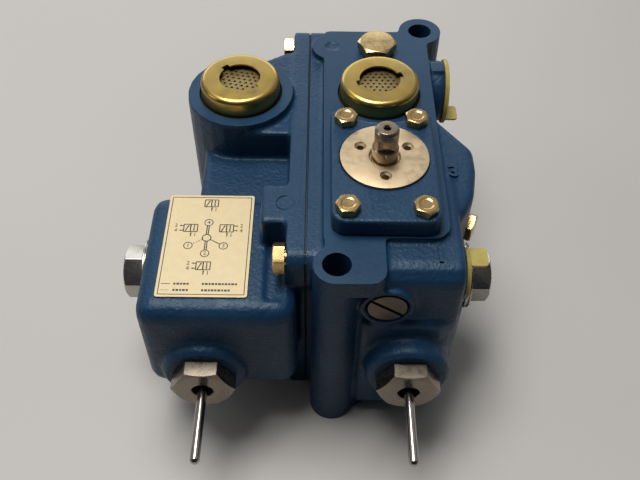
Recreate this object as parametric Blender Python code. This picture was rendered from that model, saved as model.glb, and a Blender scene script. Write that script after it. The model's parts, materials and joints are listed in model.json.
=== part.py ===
"""Shaft-operated four-position pneumatic directional valve, as separate pieces.

Two painted castings meet on the plane x = 0. The right one carries the shaft, its cover and the
air ports; the left one carries the label. Each holds one poppet valve, pushed by a pin at the
front, and one exhaust breather on top.

Lengths below are millimetres and MM turns them into metres. X points right, Y to the back, Z up.
z = 0 is level with the feet of the mounting columns. Forms are drawn with y = 0 near the front
face and moved back by ORIGIN_Y at the end, so that the part's origin is at its bottom centre.
"""

import math

import bmesh
import bpy
from mathutils import Matrix, Vector

MM = 0.001
ORIGIN_Y = 42.5  # half way from the pin tips to the back of the far column
GAP = 0.3  # between pieces that rest on each other
RUNNING_GAP = 0.07  # round a piece that turns or slides in a bore
FINE_SIDES = 36
ROUND_SIDES = 24
SMALL_SIDES = 12
HOLE_SIDES = 8
ARC_STEPS = 3
SHARP_ANGLE = math.radians(32)
TURN_PER_MM = math.radians(0.53)  # a facet turn that grows with radius keeps facet edges apart

# Levels
DECK_Z = 120.0  # machined faces of the lugs, deck and left boss
RIM_Z = 116.2  # as-cast rim along the joint
LABEL_FLAT_Z = 98.5
BULGE_TOP_Z = 115.5
PORT_BLOCK_TOP_Z = 117.0

# Joint between the castings
BACK_Y = 156.0
DECK_BACK_Y = 151.5
GASKET_X = (-0.7, -0.3)
SIDE_FACE_X = -1.0
FLANGE = 8.6
CLAMP_CENTRES = ((-7.0, 110.4), (146.0, 110.4), (4.0, 15.0), (142.0, 15.0))
CLAMP_RADIUS = 4.0
CLAMP_FLATS = 13.0
CLAMP_HEAD = 5.3
CLAMP_TIP_X = 10.0

# Mounting columns
LUG_HOLE = 6.55
NEAR_LUG = (13.3, -17.7)
FAR_LUG = (61.8, 152.3)
BLIND_LUG = (12.0, 137.0)
LUG_RADIUS = 11.3

# Shaft, cover and rotor
SHAFT = (35.8, 38.95)
SHAFT_RADIUS = 6.2
SHAFT_END_RADIUS = 5.65
SHAFT_FLATS = 8.0
SHAFT_TOP_Z = 148.0
COVER = (10.6, -1.6, 60.4, 77.0)
COVER_TOP_Z = 129.8
COVER_CORNER = 6.5
COVER_HORN = 3.5
COVER_SCALLOP = 34.0  # about the right breather
DISC_RADIUS = 21.0
DISC_TOP_Z = 130.6
DISC_HOLE_CIRCLE = 13.0
ROTOR_RADIUS = 17.0
CHAMBER_RADIUS = 20.0
CHAMBER_FLOOR_Z = 85.7
COVER_BOLTS = ((18.05, 63.6, 9.0), (52.35, 63.6, 36.0), (18.05, 5.6, 0.0), (52.35, 5.6, 38.0))
COVER_BOLT_RADIUS = 3.0
COVER_BOLT_FLATS = 10.0
COVER_BOLT_HEAD = 4.0

# Breathers
BREATHER = (36.25, 97.4)
BREATHER_TOP_Z = 129.2
CUP_FLAT_RADIUS = 17.9
CUP_RADIUS = 21.2
CUP_SHEET = 0.9
CUP_SEAT_Z = 116.0
RECESS_RADIUS = 21.7
BREATHER_BOSS = 27.8
EXHAUST_RADIUS = 17.0
WINDOW_RADIUS = 10.0
SCREEN_HOLE = 0.7
SCREEN_PITCH = 3.0

# Poppet valves, on axes along Y
PIN_X = 49.0
PIN_Z = 54.0
PIN_RADIUS = 2.3
PIN_TIP_Y = -79.6
NUT_FACE_Y = -43.3
NUT_SEAT_Y = -35.0
NUT_FLATS = 27.0
NUT_THREAD = 11.0
NUT_BOSS = 20.7
VALVE_BORE = 12.0
VALVE_BORE_END_Y = 44.0
POPPET_FRONT_Y = 6.3
POPPET_BACK_Y = 14.0

# Drillings inside the castings
PILOT_X = (27.0, 45.0)  # from the port plate down to the left and right valve
PILOT_Y = 35.0
PILOT_Z = 78.0  # level of the drilling that crosses the joint
PILOT_RADIUS = 2.0
LINK_Y = 80.0  # bore that joins the two valve chambers
LINK_RADIUS = 6.0
SUPPLY_Z = 92.0  # drilling from port 1 to the passage behind the slotted plug
EXHAUST_X = 46.0
DRIVE_PIN_Z = 97.0
DRIVE_PIN_RADIUS = 1.5

# Plugs and ports
SIDE_PLUG = (25.0, 58.0)
SIDE_BOSS_X = 79.0
SIDE_BOSS = 17.6
SIDE_PLUG_FLATS = 24.0
SIDE_PLUG_END_X = 94.4
PORT_1 = (7.0, 83.0)
PORT_1_FACE_X = 75.6
PORT_1_BORE = 8.6
PORT_1_CAP = 12.9
PORT_3 = (122.4, 101.3)
PORT_3_FACE_X = 73.4
PORT_3_BORE = 10.5
PORT_3_CAP = 18.0
TOP_PLUG = (36.5, 133.4)
TOP_PLUG_FLATS = 19.0
SLOTTED_PLUG = (36.6, 96.6)
FRONT_FACE_Y = -8.0  # of the right casting's main block
FRONT_MASS_Y = -25.0  # wall behind the right guide nut and round the slotted plug
ANGLED_PLUG = (78.6, 35.6, 86.0)
ANGLED_PLUG_TURN = math.radians(-23.5)
ANGLED_PLUG_FLATS = 13.0

# Label
LABEL = (-68.5, -21.0, -26.7, 41.3)

TO_ROW = Matrix.Scale(MM, 4) @ Matrix.Translation((0, -ORIGIN_Y, 0))
AXIS_TURN = {
    "X": Matrix.Rotation(math.radians(90), 4, "Y"),
    "Y": Matrix.Rotation(math.radians(-90), 4, "X"),
    "Z": Matrix.Identity(4),
}
# Sends an outline drawn in (Y, Z) along X, in (Z, X) along Y, or in (X, Y) along Z.
AXIS_CYCLE = {
    "X": Matrix(((0, 0, 1, 0), (1, 0, 0, 0), (0, 1, 0, 0), (0, 0, 0, 1))),
    "Y": Matrix(((0, 1, 0, 0), (0, 0, 1, 0), (1, 0, 0, 0), (0, 0, 0, 1))),
    "Z": Matrix.Identity(4),
}

# Finishes: colour, roughness, metallic
FINISHES = {
    "blue_paint": ((0.07, 0.16, 0.27), 0.45, 0.0),
    "yellow_zinc": ((0.66, 0.52, 0.22), 0.35, 1.0),
    "bolt_zinc": ((0.62, 0.56, 0.40), 0.35, 1.0),
    "bearing_metal": ((0.68, 0.62, 0.52), 0.45, 1.0),
    "bright_steel": ((0.60, 0.59, 0.57), 0.25, 1.0),
    "turned_steel": ((0.55, 0.54, 0.52), 0.35, 1.0),
    "black_rubber": ((0.02, 0.02, 0.02), 0.7, 0.0),
    "gasket_fibre": ((0.06, 0.07, 0.07), 0.9, 0.0),
    "yellow_plastic": ((0.75, 0.66, 0.28), 0.4, 0.0),
    "label_foil": ((0.86, 0.80, 0.66), 0.4, 0.2),
    "filter_felt": ((0.45, 0.42, 0.36), 0.95, 0.0),
    "bronze": ((0.55, 0.38, 0.18), 0.4, 1.0),
}


def clear_scene():
    for old in list(bpy.data.objects):
        bpy.data.objects.remove(old)


def finish_material(name):
    """The named finish as a material, made once."""
    found = bpy.data.materials.get(name)
    if found:
        return found
    colour, roughness, metallic = FINISHES[name]
    made = bpy.data.materials.new(name)
    made.use_nodes = True
    shader = made.node_tree.nodes["Principled BSDF"]
    shader.inputs["Base Color"].default_value = (*colour, 1.0)
    shader.inputs["Roughness"].default_value = roughness
    shader.inputs["Metallic"].default_value = metallic
    return made


# ---- shapes, as bmeshes in millimetres ----


def rounded_outline(corners, steps=ARC_STEPS):
    """Closed outline through corners (x, y, radius), with an arc at each rounded corner."""
    points = []
    for index, (x, y, radius) in enumerate(corners):
        here = Vector((x, y))
        if radius <= 0:
            points.append(here)
            continue
        back = (Vector(corners[index - 1][:2]) - here).normalized()
        ahead = (Vector(corners[(index + 1) % len(corners)][:2]) - here).normalized()
        half = back.angle(ahead) / 2
        centre = here + (back + ahead).normalized() * radius / math.sin(half)
        start = here + back * radius / math.tan(half) - centre
        end = here + ahead * radius / math.tan(half) - centre
        for step in range(steps + 1):
            spoke = start.lerp(end, step / steps).normalized() * radius
            points.append(centre + spoke)
    return points


def rounded_box_outline(low_x, low_y, high_x, high_y, radius):
    corners = corners_of(low_x, low_y, high_x, high_y)
    return rounded_outline([(x, y, radius) for x, y in corners])


def bevel_rim(shape, height, width, steps):
    """Rounds the edges that lie in the plane z = height."""
    rim = [e for e in shape.edges if all(abs(v.co.z - height) < 1e-4 for v in e.verts)]
    bmesh.ops.bevel(
        shape, geom=rim, offset=width, segments=steps, profile=0.5, affect="EDGES", clamp_overlap=False
    )


def prism(axis, outline, low, high, high_edge=0.0, edge_steps=2):
    """An outline extruded along an axis, with its high rim rounded."""
    shape = bmesh.new()
    base = shape.faces.new([shape.verts.new((x, y, low)) for x, y in outline])
    raised = bmesh.ops.extrude_face_region(shape, geom=[base])["geom"]
    tops = [item for item in raised if isinstance(item, bmesh.types.BMVert)]
    bmesh.ops.translate(shape, verts=tops, vec=(0, 0, high - low))
    if high_edge:
        bevel_rim(shape, high, high_edge, edge_steps)
    bmesh.ops.recalc_face_normals(shape, faces=shape.faces)
    shape.transform(AXIS_CYCLE[axis])
    return shape


def cast_prism(corners, low, high, edge, steps=2):
    """An upright casting form with every edge rounded alike; corners are (x, y)."""
    shape = prism("Z", corners, low, high)
    bmesh.ops.bevel(
        shape,
        geom=shape.edges[:],
        offset=edge,
        segments=steps,
        profile=0.5,
        affect="EDGES",
        clamp_overlap=True,
    )
    bmesh.ops.recalc_face_normals(shape, faces=shape.faces)
    return shape


def corners_of(low_x, low_y, high_x, high_y):
    return ((low_x, low_y), (high_x, low_y), (high_x, high_y), (low_x, high_y))


def block(low, high):
    return prism("Z", corners_of(*low[:2], *high[:2]), low[2], high[2])


def cylinder(axis, centre, radius, low, high, sides=ROUND_SIDES, high_radius=None, facet_turn=None):
    """A cylinder or cone along an axis through centre, a point (x, y, z)."""
    shape = bmesh.new()
    bmesh.ops.create_cone(
        shape,
        cap_ends=True,
        segments=sides,
        radius1=radius,
        radius2=radius if high_radius is None else high_radius,
        depth=high - low,
    )
    middle = Vector(centre)
    middle["XYZ".index(axis)] = (low + high) / 2
    turn = radius * TURN_PER_MM if facet_turn is None else facet_turn
    shape.transform(Matrix.Translation(middle) @ AXIS_TURN[axis] @ Matrix.Rotation(turn, 4, "Z"))
    return shape


def hexagon(axis, centre, across_flats, low, high, turn=0.0):
    """A hexagonal bar along an axis; turn is in degrees."""
    shape = cylinder("Z", (0, 0, 0), across_flats / math.sqrt(3), low, high, sides=6, facet_turn=0)
    shape.transform(Matrix.Rotation(math.radians(turn), 4, "Z"))
    place = Vector(centre)
    place["XYZ".index(axis)] = 0
    shape.transform(Matrix.Translation(place) @ AXIS_TURN[axis])
    return shape


def lathe(axis, centre, profile, sides=ROUND_SIDES, ring=False):
    """Turns a profile of (radius, distance along the axis); ring closes the profile on itself."""
    shape = bmesh.new()
    verts = [shape.verts.new((radius, 0, along)) for radius, along in profile]
    edges = [shape.edges.new(pair) for pair in zip(verts, verts[1:])]
    if ring:
        edges.append(shape.edges.new((verts[-1], verts[0])))
    bmesh.ops.spin(
        shape,
        geom=verts + edges,
        cent=(0, 0, 0),
        axis=(0, 0, 1),
        angle=2 * math.pi,
        steps=sides,
        use_merge=True,
    )
    bmesh.ops.remove_doubles(shape, verts=shape.verts, dist=1e-4)
    bmesh.ops.recalc_face_normals(shape, faces=shape.faces)
    place = Vector(centre)
    place["XYZ".index(axis)] = 0
    turn = max(radius for radius, _ in profile) * TURN_PER_MM
    shape.transform(Matrix.Translation(place) @ AXIS_TURN[axis] @ Matrix.Rotation(turn, 4, "Z"))
    return shape


def mirrored(shape):
    """The same shape on the other side of the joint plane."""
    shape.transform(Matrix.Scale(-1, 4, (1, 0, 0)))
    bmesh.ops.reverse_faces(shape, faces=shape.faces)
    return shape


def torus(axis, centre, ring_radius, wire_radius, along, sides=ROUND_SIDES, wire_sides=6):
    turns = [2 * math.pi * step / wire_sides for step in range(wire_sides)]
    profile = [
        (ring_radius + wire_radius * math.cos(a), along + wire_radius * math.sin(a)) for a in turns
    ]
    return lathe(axis, centre, profile, sides, ring=True)


# ---- objects ----


def to_object(name, shape):
    mesh = bpy.data.meshes.new(name)
    shape.to_mesh(mesh)
    shape.free()
    made = bpy.data.objects.new(name, mesh)
    bpy.context.scene.collection.objects.link(made)
    return made


def combine(target, shape, operation):
    """Applies one exact Boolean to target and throws the tool away."""
    tool = to_object("tool", shape)
    modifier = target.modifiers.new("combine", "BOOLEAN")
    modifier.operation = operation
    modifier.solver = "EXACT"
    modifier.object = tool
    graph = bpy.context.evaluated_depsgraph_get()
    result = bpy.data.meshes.new_from_object(target.evaluated_get(graph))
    target.modifiers.clear()
    used = target.data
    target.data = result
    bpy.data.meshes.remove(used)
    bpy.data.objects.remove(tool)


def piece(name, finish, body, joins=(), cuts=(), within=None):
    """One sub-part: body, with shapes joined on, kept within another, then cut."""
    made = to_object(name, body)
    for shape in joins:
        combine(made, shape, "UNION")
    if within:
        combine(made, within, "INTERSECT")
    for shape in cuts:
        combine(made, shape, "DIFFERENCE")
    made.data.name = name
    made.data.transform(TO_ROW)
    made.data.materials.clear()
    made.data.materials.append(finish_material(finish))
    made.data.shade_smooth()
    made.data.set_sharp_from_angle(angle=SHARP_ANGLE)
    return made


def carried_by(name, at, pieces):
    """Parents pieces to an empty on their joint's axis, leaving them where they are."""
    carrier = bpy.data.objects.new(name, None)
    carrier.location = TO_ROW @ Vector(at)
    bpy.context.scene.collection.objects.link(carrier)
    bpy.context.view_layer.update()
    for child in pieces:
        child.parent = carrier
        child.matrix_parent_inverse = carrier.matrix_world.inverted()


# ---- castings ----


def flange(low_x, high_x):
    """The joint flange both castings share: a slab with a step under its front corner."""
    outline = rounded_outline(
        (
            (BACK_Y, -4, 0),
            (BACK_Y, RIM_Z, 1.6),
            (-13, RIM_Z, 6),
            (-13, 98, 4),
            (-6, 84, 4),
            (-6, -4, 0),
        )
    )
    return prism("X", outline, low_x, high_x)


def cast_round(axis, centre, radius, low, high, edge):
    """A round boss whose free rim is rounded; low is buried in the casting."""
    steps = 2
    profile = [(0, low), (radius, low)]
    for step in range(steps + 1):
        angle = math.pi / 2 * step / steps
        profile.append(
            (radius - edge * (1 - math.cos(angle)), high - edge * (1 - math.sin(angle)))
        )
    profile.append((0, high))
    return lathe(axis, centre, profile)


def main_casting_bodies():
    """The solid forms of the right casting, each overlapping its neighbours."""
    deck = rounded_outline(
        ((7.4, -2.5, 0.5), (64.8, -2.5, 8), (64.8, DECK_BACK_Y - 0.4, 3), (7.4, DECK_BACK_Y - 0.4, 3))
    )
    lug_plate = rounded_outline(((8, -28.2, 3), (35, -28.2, 7), (35, 3, 0), (8, 3, 0)))
    web = rounded_outline(
        ((6, -6, 0), (9, -25, 0), (18, -25.5, 4), (38.5, -14, 3), (38.5, -5, 0))
    )
    bulge = (
        (46, 104),
        (57, 98),
        (66.3, 83),
        (82.4, 60.5),
        (82.4, 47),
        (79.6, 30),
        (75.8, 21),
        (70.5, 13),
        (46, 12),
    )
    return [
        cast_prism(corners_of(-9, FRONT_FACE_Y, 66, DECK_BACK_Y), 0.5, RIM_Z - 0.4, 4),
        front_mass(),
        port_block(),
        cylinder("Y", (SLOTTED_PLUG[0], 0, SLOTTED_PLUG[1]), 12.4, FRONT_MASS_Y, 5),
        cast_prism(bulge, 22, BULGE_TOP_Z, 3.5),
        prism("Z", deck, 100, DECK_Z + 4),
        cylinder("Z", (*BLIND_LUG, 0), LUG_RADIUS, 98, DECK_Z + 5),
        cylinder("Z", (*NEAR_LUG, 0), 11.7, -4, DECK_Z + 6, high_radius=10.6),
        cylinder("Z", (*FAR_LUG, 0), 12.4, -4, DECK_Z + 7, high_radius=11.9),
        prism("Z", lug_plate, 109, DECK_Z + 8),
        prism("Z", web, -5, 112),
        cast_round("X", (0, *PORT_1), 15, 54, PORT_1_FACE_X, 1.2),
        cast_round("X", (0, *PORT_3), 16.8, 50, PORT_3_FACE_X, 1.5),
        cast_round("X", (0, *SIDE_PLUG), SIDE_BOSS, 55, SIDE_BOSS_X, 1),
        nut_boss(1),
        block((66.5, 117.5, 108), (PORT_3_FACE_X - 0.4, 126, 119)),
    ]


def front_mass():
    """The thick wall round the right valve, with a wide corner towards the ports."""
    outline = rounded_outline(
        ((25, FRONT_MASS_Y, 3), (74, FRONT_MASS_Y, 15), (74, 104, 6), (25, 104, 0)), steps=5
    )
    return prism("Z", outline, 12, 85, high_edge=3)


def port_block():
    """The block above port 1, with a broad rounded edge along its front."""
    front = FRONT_MASS_Y + 3
    top = PORT_BLOCK_TOP_Z
    outline = rounded_outline(((40, 74, 0), (front, 74, 0), (front, top, 9), (40, top, 0)))
    return prism("X", outline, 34, 70.6, high_edge=2.5)


def nut_boss(side):
    """The boss behind a guide nut, rounded towards the nut's seat."""
    shape = cast_round("Y", (0, 0, 0), NUT_BOSS, 2, -NUT_SEAT_Y, 3.0)
    shape.transform(Matrix.Translation((side * PIN_X, 0, PIN_Z)) @ Matrix.Rotation(math.pi, 4, "Z"))
    return shape


def angled(shape):
    """Moves a shape made along X to the angled plug's seat."""
    place = Matrix.Translation(Vector(ANGLED_PLUG))
    shape.transform(place @ Matrix.Rotation(ANGLED_PLUG_TURN, 4, "Z"))
    return shape


def valve_cuts(side):
    """Bores of one poppet valve and its exhaust, on the side +1 or -1."""
    axis = (side * PIN_X, 0, PIN_Z)
    exhaust_x = side * EXHAUST_X
    return [
        cylinder("Y", axis, NUT_THREAD + GAP, -50, -16.5),
        cylinder("Y", axis, VALVE_BORE, -17, VALVE_BORE_END_Y),
        cylinder("Y", axis, 7, VALVE_BORE_END_Y - 1, 98, sides=SMALL_SIDES),
        cylinder("Z", (exhaust_x, 96, 0), 6.5, PIN_Z - 1, 88, sides=SMALL_SIDES),
        cylinder("Z", (side * BREATHER[0], BREATHER[1], 0), RECESS_RADIUS, CUP_SEAT_Z, 130, FINE_SIDES),
        cylinder("Z", (side * BREATHER[0], BREATHER[1], 0), EXHAUST_RADIUS, 82, CUP_SEAT_Z + 1),
    ]


def pilot_drilling(axis, centre, low, high, radius=PILOT_RADIUS):
    return cylinder(axis, centre, radius, low, high, HOLE_SIDES)


def clamp_hole(centre, low, high):
    return cylinder("X", (0, *centre), CLAMP_RADIUS + GAP, low, high, SMALL_SIDES)


def main_casting():
    bodies = main_casting_bodies()
    chamber = (*SHAFT, 0)
    trims = [
        block((-20, -60, -20), (0, 200, 200)),
        block((-30, -70, DECK_Z), (130, 210, DECK_Z + 60)),
        block((-30, -70, -60), (130, 210, 0)),
    ]
    top_cuts = [
        cylinder("Z", (*NEAR_LUG, 0), LUG_HOLE, -5, DECK_Z + 5),
        cylinder("Z", (*FAR_LUG, 0), LUG_HOLE, -5, DECK_Z + 5),
        cylinder("Z", (*BLIND_LUG, 0), 5.0, DECK_Z - 0.7, DECK_Z + 5),
        cylinder("Z", chamber, CHAMBER_RADIUS, CHAMBER_FLOOR_Z, DECK_Z + 5, FINE_SIDES),
        cylinder("Z", (*TOP_PLUG, 0), 6 + GAP, 106, DECK_Z + 5),
    ]
    bolt_cuts = [
        cylinder("Z", (x, y, 0), COVER_BOLT_RADIUS + GAP, 103, DECK_Z + 5, SMALL_SIDES)
        for x, y, _ in COVER_BOLTS
    ]
    clamp_cuts = [clamp_hole(centre, -5, CLAMP_TIP_X + 0.7) for centre in CLAMP_CENTRES]
    slot_axis = (SLOTTED_PLUG[0], 0, SLOTTED_PLUG[1])
    air_cuts = [
        cylinder("X", (0, *PORT_3), PORT_3_BORE, 38, 90),
        cylinder("Y", (43, 0, 100), 6, 100, 122, SMALL_SIDES),
        cylinder("X", (0, *PORT_1), PORT_1_BORE, 54, 90),
        cylinder("X", (0, *PORT_1), PORT_1_CAP + 1.3, PORT_1_FACE_X, 90, FINE_SIDES),
        cylinder("Z", (57, PORT_1[0], 0), 4, 56, 84, SMALL_SIDES),
        cylinder("X", (0, PORT_1[0], SUPPLY_Z), 4, 35.1, 58, SMALL_SIDES),
        cylinder("X", (0, *SIDE_PLUG), 9.0, 57, 95),
        cylinder("X", (0, *SIDE_PLUG), SIDE_BOSS + 0.6, SIDE_BOSS_X, 100, FINE_SIDES),
        cylinder("Y", slot_axis, 10.2, -40, FRONT_MASS_Y + 2.2),
        cylinder("Y", slot_axis, 9.3, FRONT_MASS_Y, FRONT_MASS_Y + 11),
        cylinder("Y", slot_axis, 4, FRONT_MASS_Y + 10, 21, SMALL_SIDES),
        angled(cylinder("X", (0, 0, 0), 9.0, -0.4, 20)),
        angled(cylinder("X", (0, 0, 0), 5.3, -14, 5, SMALL_SIDES)),
    ]
    pilot_cuts = [
        pilot_drilling("Z", (PILOT_X[1], PILOT_Y, 0), 64, 90),
        pilot_drilling("Z", (PILOT_X[0], PILOT_Y, 0), PILOT_Z - PILOT_RADIUS, 90),
        pilot_drilling("X", (0, PILOT_Y, PILOT_Z), -5, PILOT_X[0]),
        cylinder("X", (0, LINK_Y, PIN_Z), LINK_RADIUS, -5, EXHAUST_X + 1, SMALL_SIDES),
    ]
    underside = rounded_box_outline(9, 12, 64, 128, 8)
    hollow = [prism("Z", underside, -20, 33)]
    cuts = trims + top_cuts + bolt_cuts + clamp_cuts + air_cuts + pilot_cuts + valve_cuts(1) + hollow
    return piece("main_casting", "blue_paint", bodies[0], [flange(-5, FLANGE)] + bodies[1:], cuts)


def side_casting_bodies():
    """The solid forms of the left casting."""
    box = ((-78, -30), (-4.5, -30), (-4.5, 44), (-78, 44))
    web = ((-36, 69.9), (5, 69.9), (5, 137.5), (-14, 136.8), (-36, 122))
    pad = ((-22, 10), (12, 10), (12, 34.5), (-22, 34.5))
    plug_boss = cast_round("X", (0, *SIDE_PLUG), SIDE_BOSS, 55, SIDE_BOSS_X, 1)
    boss = cast_round("Z", (-BREATHER[0], BREATHER[1], 0), BREATHER_BOSS, 14, DECK_Z, 0.8)
    return [
        cast_prism(box, 36, LABEL_FLAT_Z, 8, steps=3),
        cast_prism(corners_of(-55, 20, 12, 92), 30, LABEL_FLAT_Z - 0.6, 4),
        boss,
        prism("Z", web, 84, RIM_Z - 0.8),
        cast_prism(pad, 80, RIM_Z - 0.35, 2),
        cast_prism(corners_of(-60, 2, 14, 110), 12, 60, 6),
        mirrored(plug_boss),
        nut_boss(-1),
    ]


def side_casting():
    bodies = side_casting_bodies()
    trims = [
        block((SIDE_FACE_X, -65, -25), (33, 205, 205)),
        block((-130, -70, -60), (30, 210, 0)),
    ]
    clamp_cuts = [clamp_hole(centre, -30, 5) for centre in CLAMP_CENTRES]
    bolt_pocket = rounded_box_outline(-19.5, -22, SIDE_FACE_X - FLANGE, 10.5, 2)
    seats = [
        prism("Z", bolt_pocket, 97, 130),
        cylinder("X", (0, *CLAMP_CENTRES[0]), 8.6, -30, SIDE_FACE_X - FLANGE),
        cylinder("X", (0, *CLAMP_CENTRES[1]), 8.6, -30, SIDE_FACE_X - FLANGE),
        cylinder("X", (0, *CLAMP_CENTRES[2]), 9, -90, SIDE_FACE_X - FLANGE),
    ]
    air_cuts = [
        pilot_drilling("Z", (-PIN_X, PILOT_Y, 0), 60, PILOT_Z + PILOT_RADIUS),
        pilot_drilling("X", (0, PILOT_Y, PILOT_Z), -PIN_X, 5),
        cylinder("X", (0, LINK_Y, PIN_Z), LINK_RADIUS, -EXHAUST_X - 1, 5, SMALL_SIDES),
        mirrored(cylinder("X", (0, *SIDE_PLUG), 9.0, 57, 95)),
    ]
    cuts = trims + seats + clamp_cuts + air_cuts + valve_cuts(-1)
    return piece("side_casting", "blue_paint", flange(SIDE_FACE_X - FLANGE, 4), bodies, cuts)


def joint_gasket():
    holes = [clamp_hole(centre, -5, 5) for centre in CLAMP_CENTRES]
    holes.append(pilot_drilling("X", (0, PILOT_Y, PILOT_Z), -5, 5, PILOT_RADIUS + 0.2))
    holes.append(cylinder("X", (0, LINK_Y, PIN_Z), LINK_RADIUS + 0.5, -5, 5, SMALL_SIDES))
    outline = rounded_outline(
        ((155, 1, 2), (155, 115.6, 1.4), (-12.4, 115.6, 5.5), (-12.4, 98, 4), (-5.4, 84, 4), (-5.4, 1, 2))
    )
    return piece("joint_gasket", "gasket_fibre", prism("X", outline, *GASKET_X), cuts=holes)


# ---- fasteners ----


def hex_head(axis, centre, flats, low, high, turn, chamfer_high=True):
    """A hexagon with its corners chamfered at the free end."""
    bar = hexagon(axis, centre, flats, low, high, turn)
    outer = flats / math.sqrt(3) + 0.5
    inner = flats / 2 * 0.96
    rise = (outer - inner) * 0.55
    if chamfer_high:
        profile = [(0, low - 1), (outer, low - 1), (outer, high - rise), (inner, high), (0, high)]
    else:
        profile = [(0, low), (inner, low), (outer, low + rise), (outer, high + 1), (0, high + 1)]
    return bar, lathe(axis, centre, profile, sides=30)


def cover_bolt(index, x, y, turn):
    seat = COVER_TOP_Z + GAP
    bar, cone = hex_head("Z", (x, y, 0), COVER_BOLT_FLATS, seat, seat + COVER_BOLT_HEAD, turn)
    bolt = piece(f"cover_bolt_{index}", "bolt_zinc", bar, within=cone)
    shank = cylinder("Z", (x, y, 0), COVER_BOLT_RADIUS, 104, seat + 1, SMALL_SIDES)
    return add_shank(bolt, shank)


def add_shank(bolt, shank):
    """Joins a shank to a finished head."""
    shank.transform(TO_ROW)
    combine(bolt, shank, "UNION")
    bolt.data.name = bolt.name
    bolt.data.shade_smooth()
    bolt.data.set_sharp_from_angle(angle=SHARP_ANGLE)
    return bolt


def clamp_bolt(index, centre, turn):
    seat = SIDE_FACE_X - FLANGE - GAP
    place = (0, *centre)
    bar, cone = hex_head("X", place, CLAMP_FLATS, seat - CLAMP_HEAD, seat, turn, chamfer_high=False)
    bolt = piece(f"clamp_bolt_{index}", "bolt_zinc", bar, within=cone)
    shank = cylinder("X", place, CLAMP_RADIUS, seat - 1, CLAMP_TIP_X, SMALL_SIDES)
    return add_shank(bolt, shank)


# ---- shaft, cover and rotor ----


def cover_plate():
    holes = [
        cylinder("Z", (x, y, 0), COVER_BOLT_RADIUS + GAP, 110, 140, SMALL_SIDES) for x, y, _ in COVER_BOLTS
    ]
    holes.append(cylinder("Z", (*SHAFT, 0), DISC_RADIUS + GAP, 110, 140, FINE_SIDES))
    low_x, low_y, high_x, horn_y = COVER
    front = [(low_x, low_y, COVER_CORNER), (high_x, low_y, COVER_CORNER)]
    back = [(high_x, horn_y, COVER_HORN)]
    for offset in (14, 7, 0, -7, -14):
        edge_y = BREATHER[1] - math.sqrt(COVER_SCALLOP**2 - offset**2)
        back.append((BREATHER[0] + offset, edge_y, 0))
    back.append((low_x, horn_y, COVER_HORN))
    plate = prism("Z", rounded_outline(front + back), DECK_Z + GAP, COVER_TOP_Z, high_edge=1.0)
    return piece("cover_plate", "blue_paint", plate, cuts=holes)


def bearing_disc():
    """The flanged shaft bearing: a disc in the cover with a bush below it."""
    bore = SHAFT_RADIUS + RUNNING_GAP
    profile = [
        (bore, 106),
        (9.5, 106),
        (9.5, DECK_Z + GAP),
        (DISC_RADIUS, DECK_Z + GAP),
        (DISC_RADIUS, DISC_TOP_Z - 0.3),
        (DISC_RADIUS - 0.3, DISC_TOP_Z),
        (7.3, DISC_TOP_Z),
        (7.3, DISC_TOP_Z - 2),
        (bore, DISC_TOP_Z - 2),
        (bore, 116.5),
        (8.4, 116.5),
        (8.4, 113.5),
        (bore, 113.5),
    ]
    holes = []
    for angle in (30, 150, 270):
        x = SHAFT[0] + DISC_HOLE_CIRCLE * math.cos(math.radians(angle))
        y = SHAFT[1] + DISC_HOLE_CIRCLE * math.sin(math.radians(angle))
        holes.append(cylinder("Z", (x, y, 0), 1.65, DISC_TOP_Z - 8, DISC_TOP_Z + 1, SMALL_SIDES))
        holes.append(
            cylinder("Z", (x, y, 0), 1.4, DISC_TOP_Z - 1.4, DISC_TOP_Z + 0.4, SMALL_SIDES, high_radius=3.2)
        )
    body = lathe("Z", (*SHAFT, 0), profile, FINE_SIDES, ring=True)
    return piece("bearing_disc", "bearing_metal", body, cuts=holes)


def shaft():
    """The turning shaft: round, with two flats for a lever and a tapped end."""
    flat_low = DISC_TOP_Z + 6.4
    flat_high = SHAFT_TOP_Z - 4.2
    profile = [
        (0, 93.4),
        (SHAFT_RADIUS - 0.8, 93.4),
        (SHAFT_RADIUS, 94.2),
        (SHAFT_RADIUS, flat_low - 0.5),
        (SHAFT_END_RADIUS, flat_low),
        (SHAFT_END_RADIUS, SHAFT_TOP_Z - 1.2),
        (SHAFT_END_RADIUS - 1.2, SHAFT_TOP_Z),
        (0, SHAFT_TOP_Z),
    ]
    x, y = SHAFT
    half = SHAFT_FLATS / 2
    cuts = [
        block((x - 10, y - 12, flat_low), (x + 10, y - half, flat_high)),
        block((x - 10, y + half, flat_low), (x + 10, y + 12, flat_high)),
        cylinder("Z", (x, y, 0), 1.55, SHAFT_TOP_Z - 10, SHAFT_TOP_Z + 1, SMALL_SIDES),
        cylinder("X", (0, y, DRIVE_PIN_Z), DRIVE_PIN_RADIUS + RUNNING_GAP, x - 10, x + 10, SMALL_SIDES),
    ]
    return piece("shaft", "bright_steel", lathe("Z", (x, y, 0), profile, FINE_SIDES), cuts=cuts)


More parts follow.
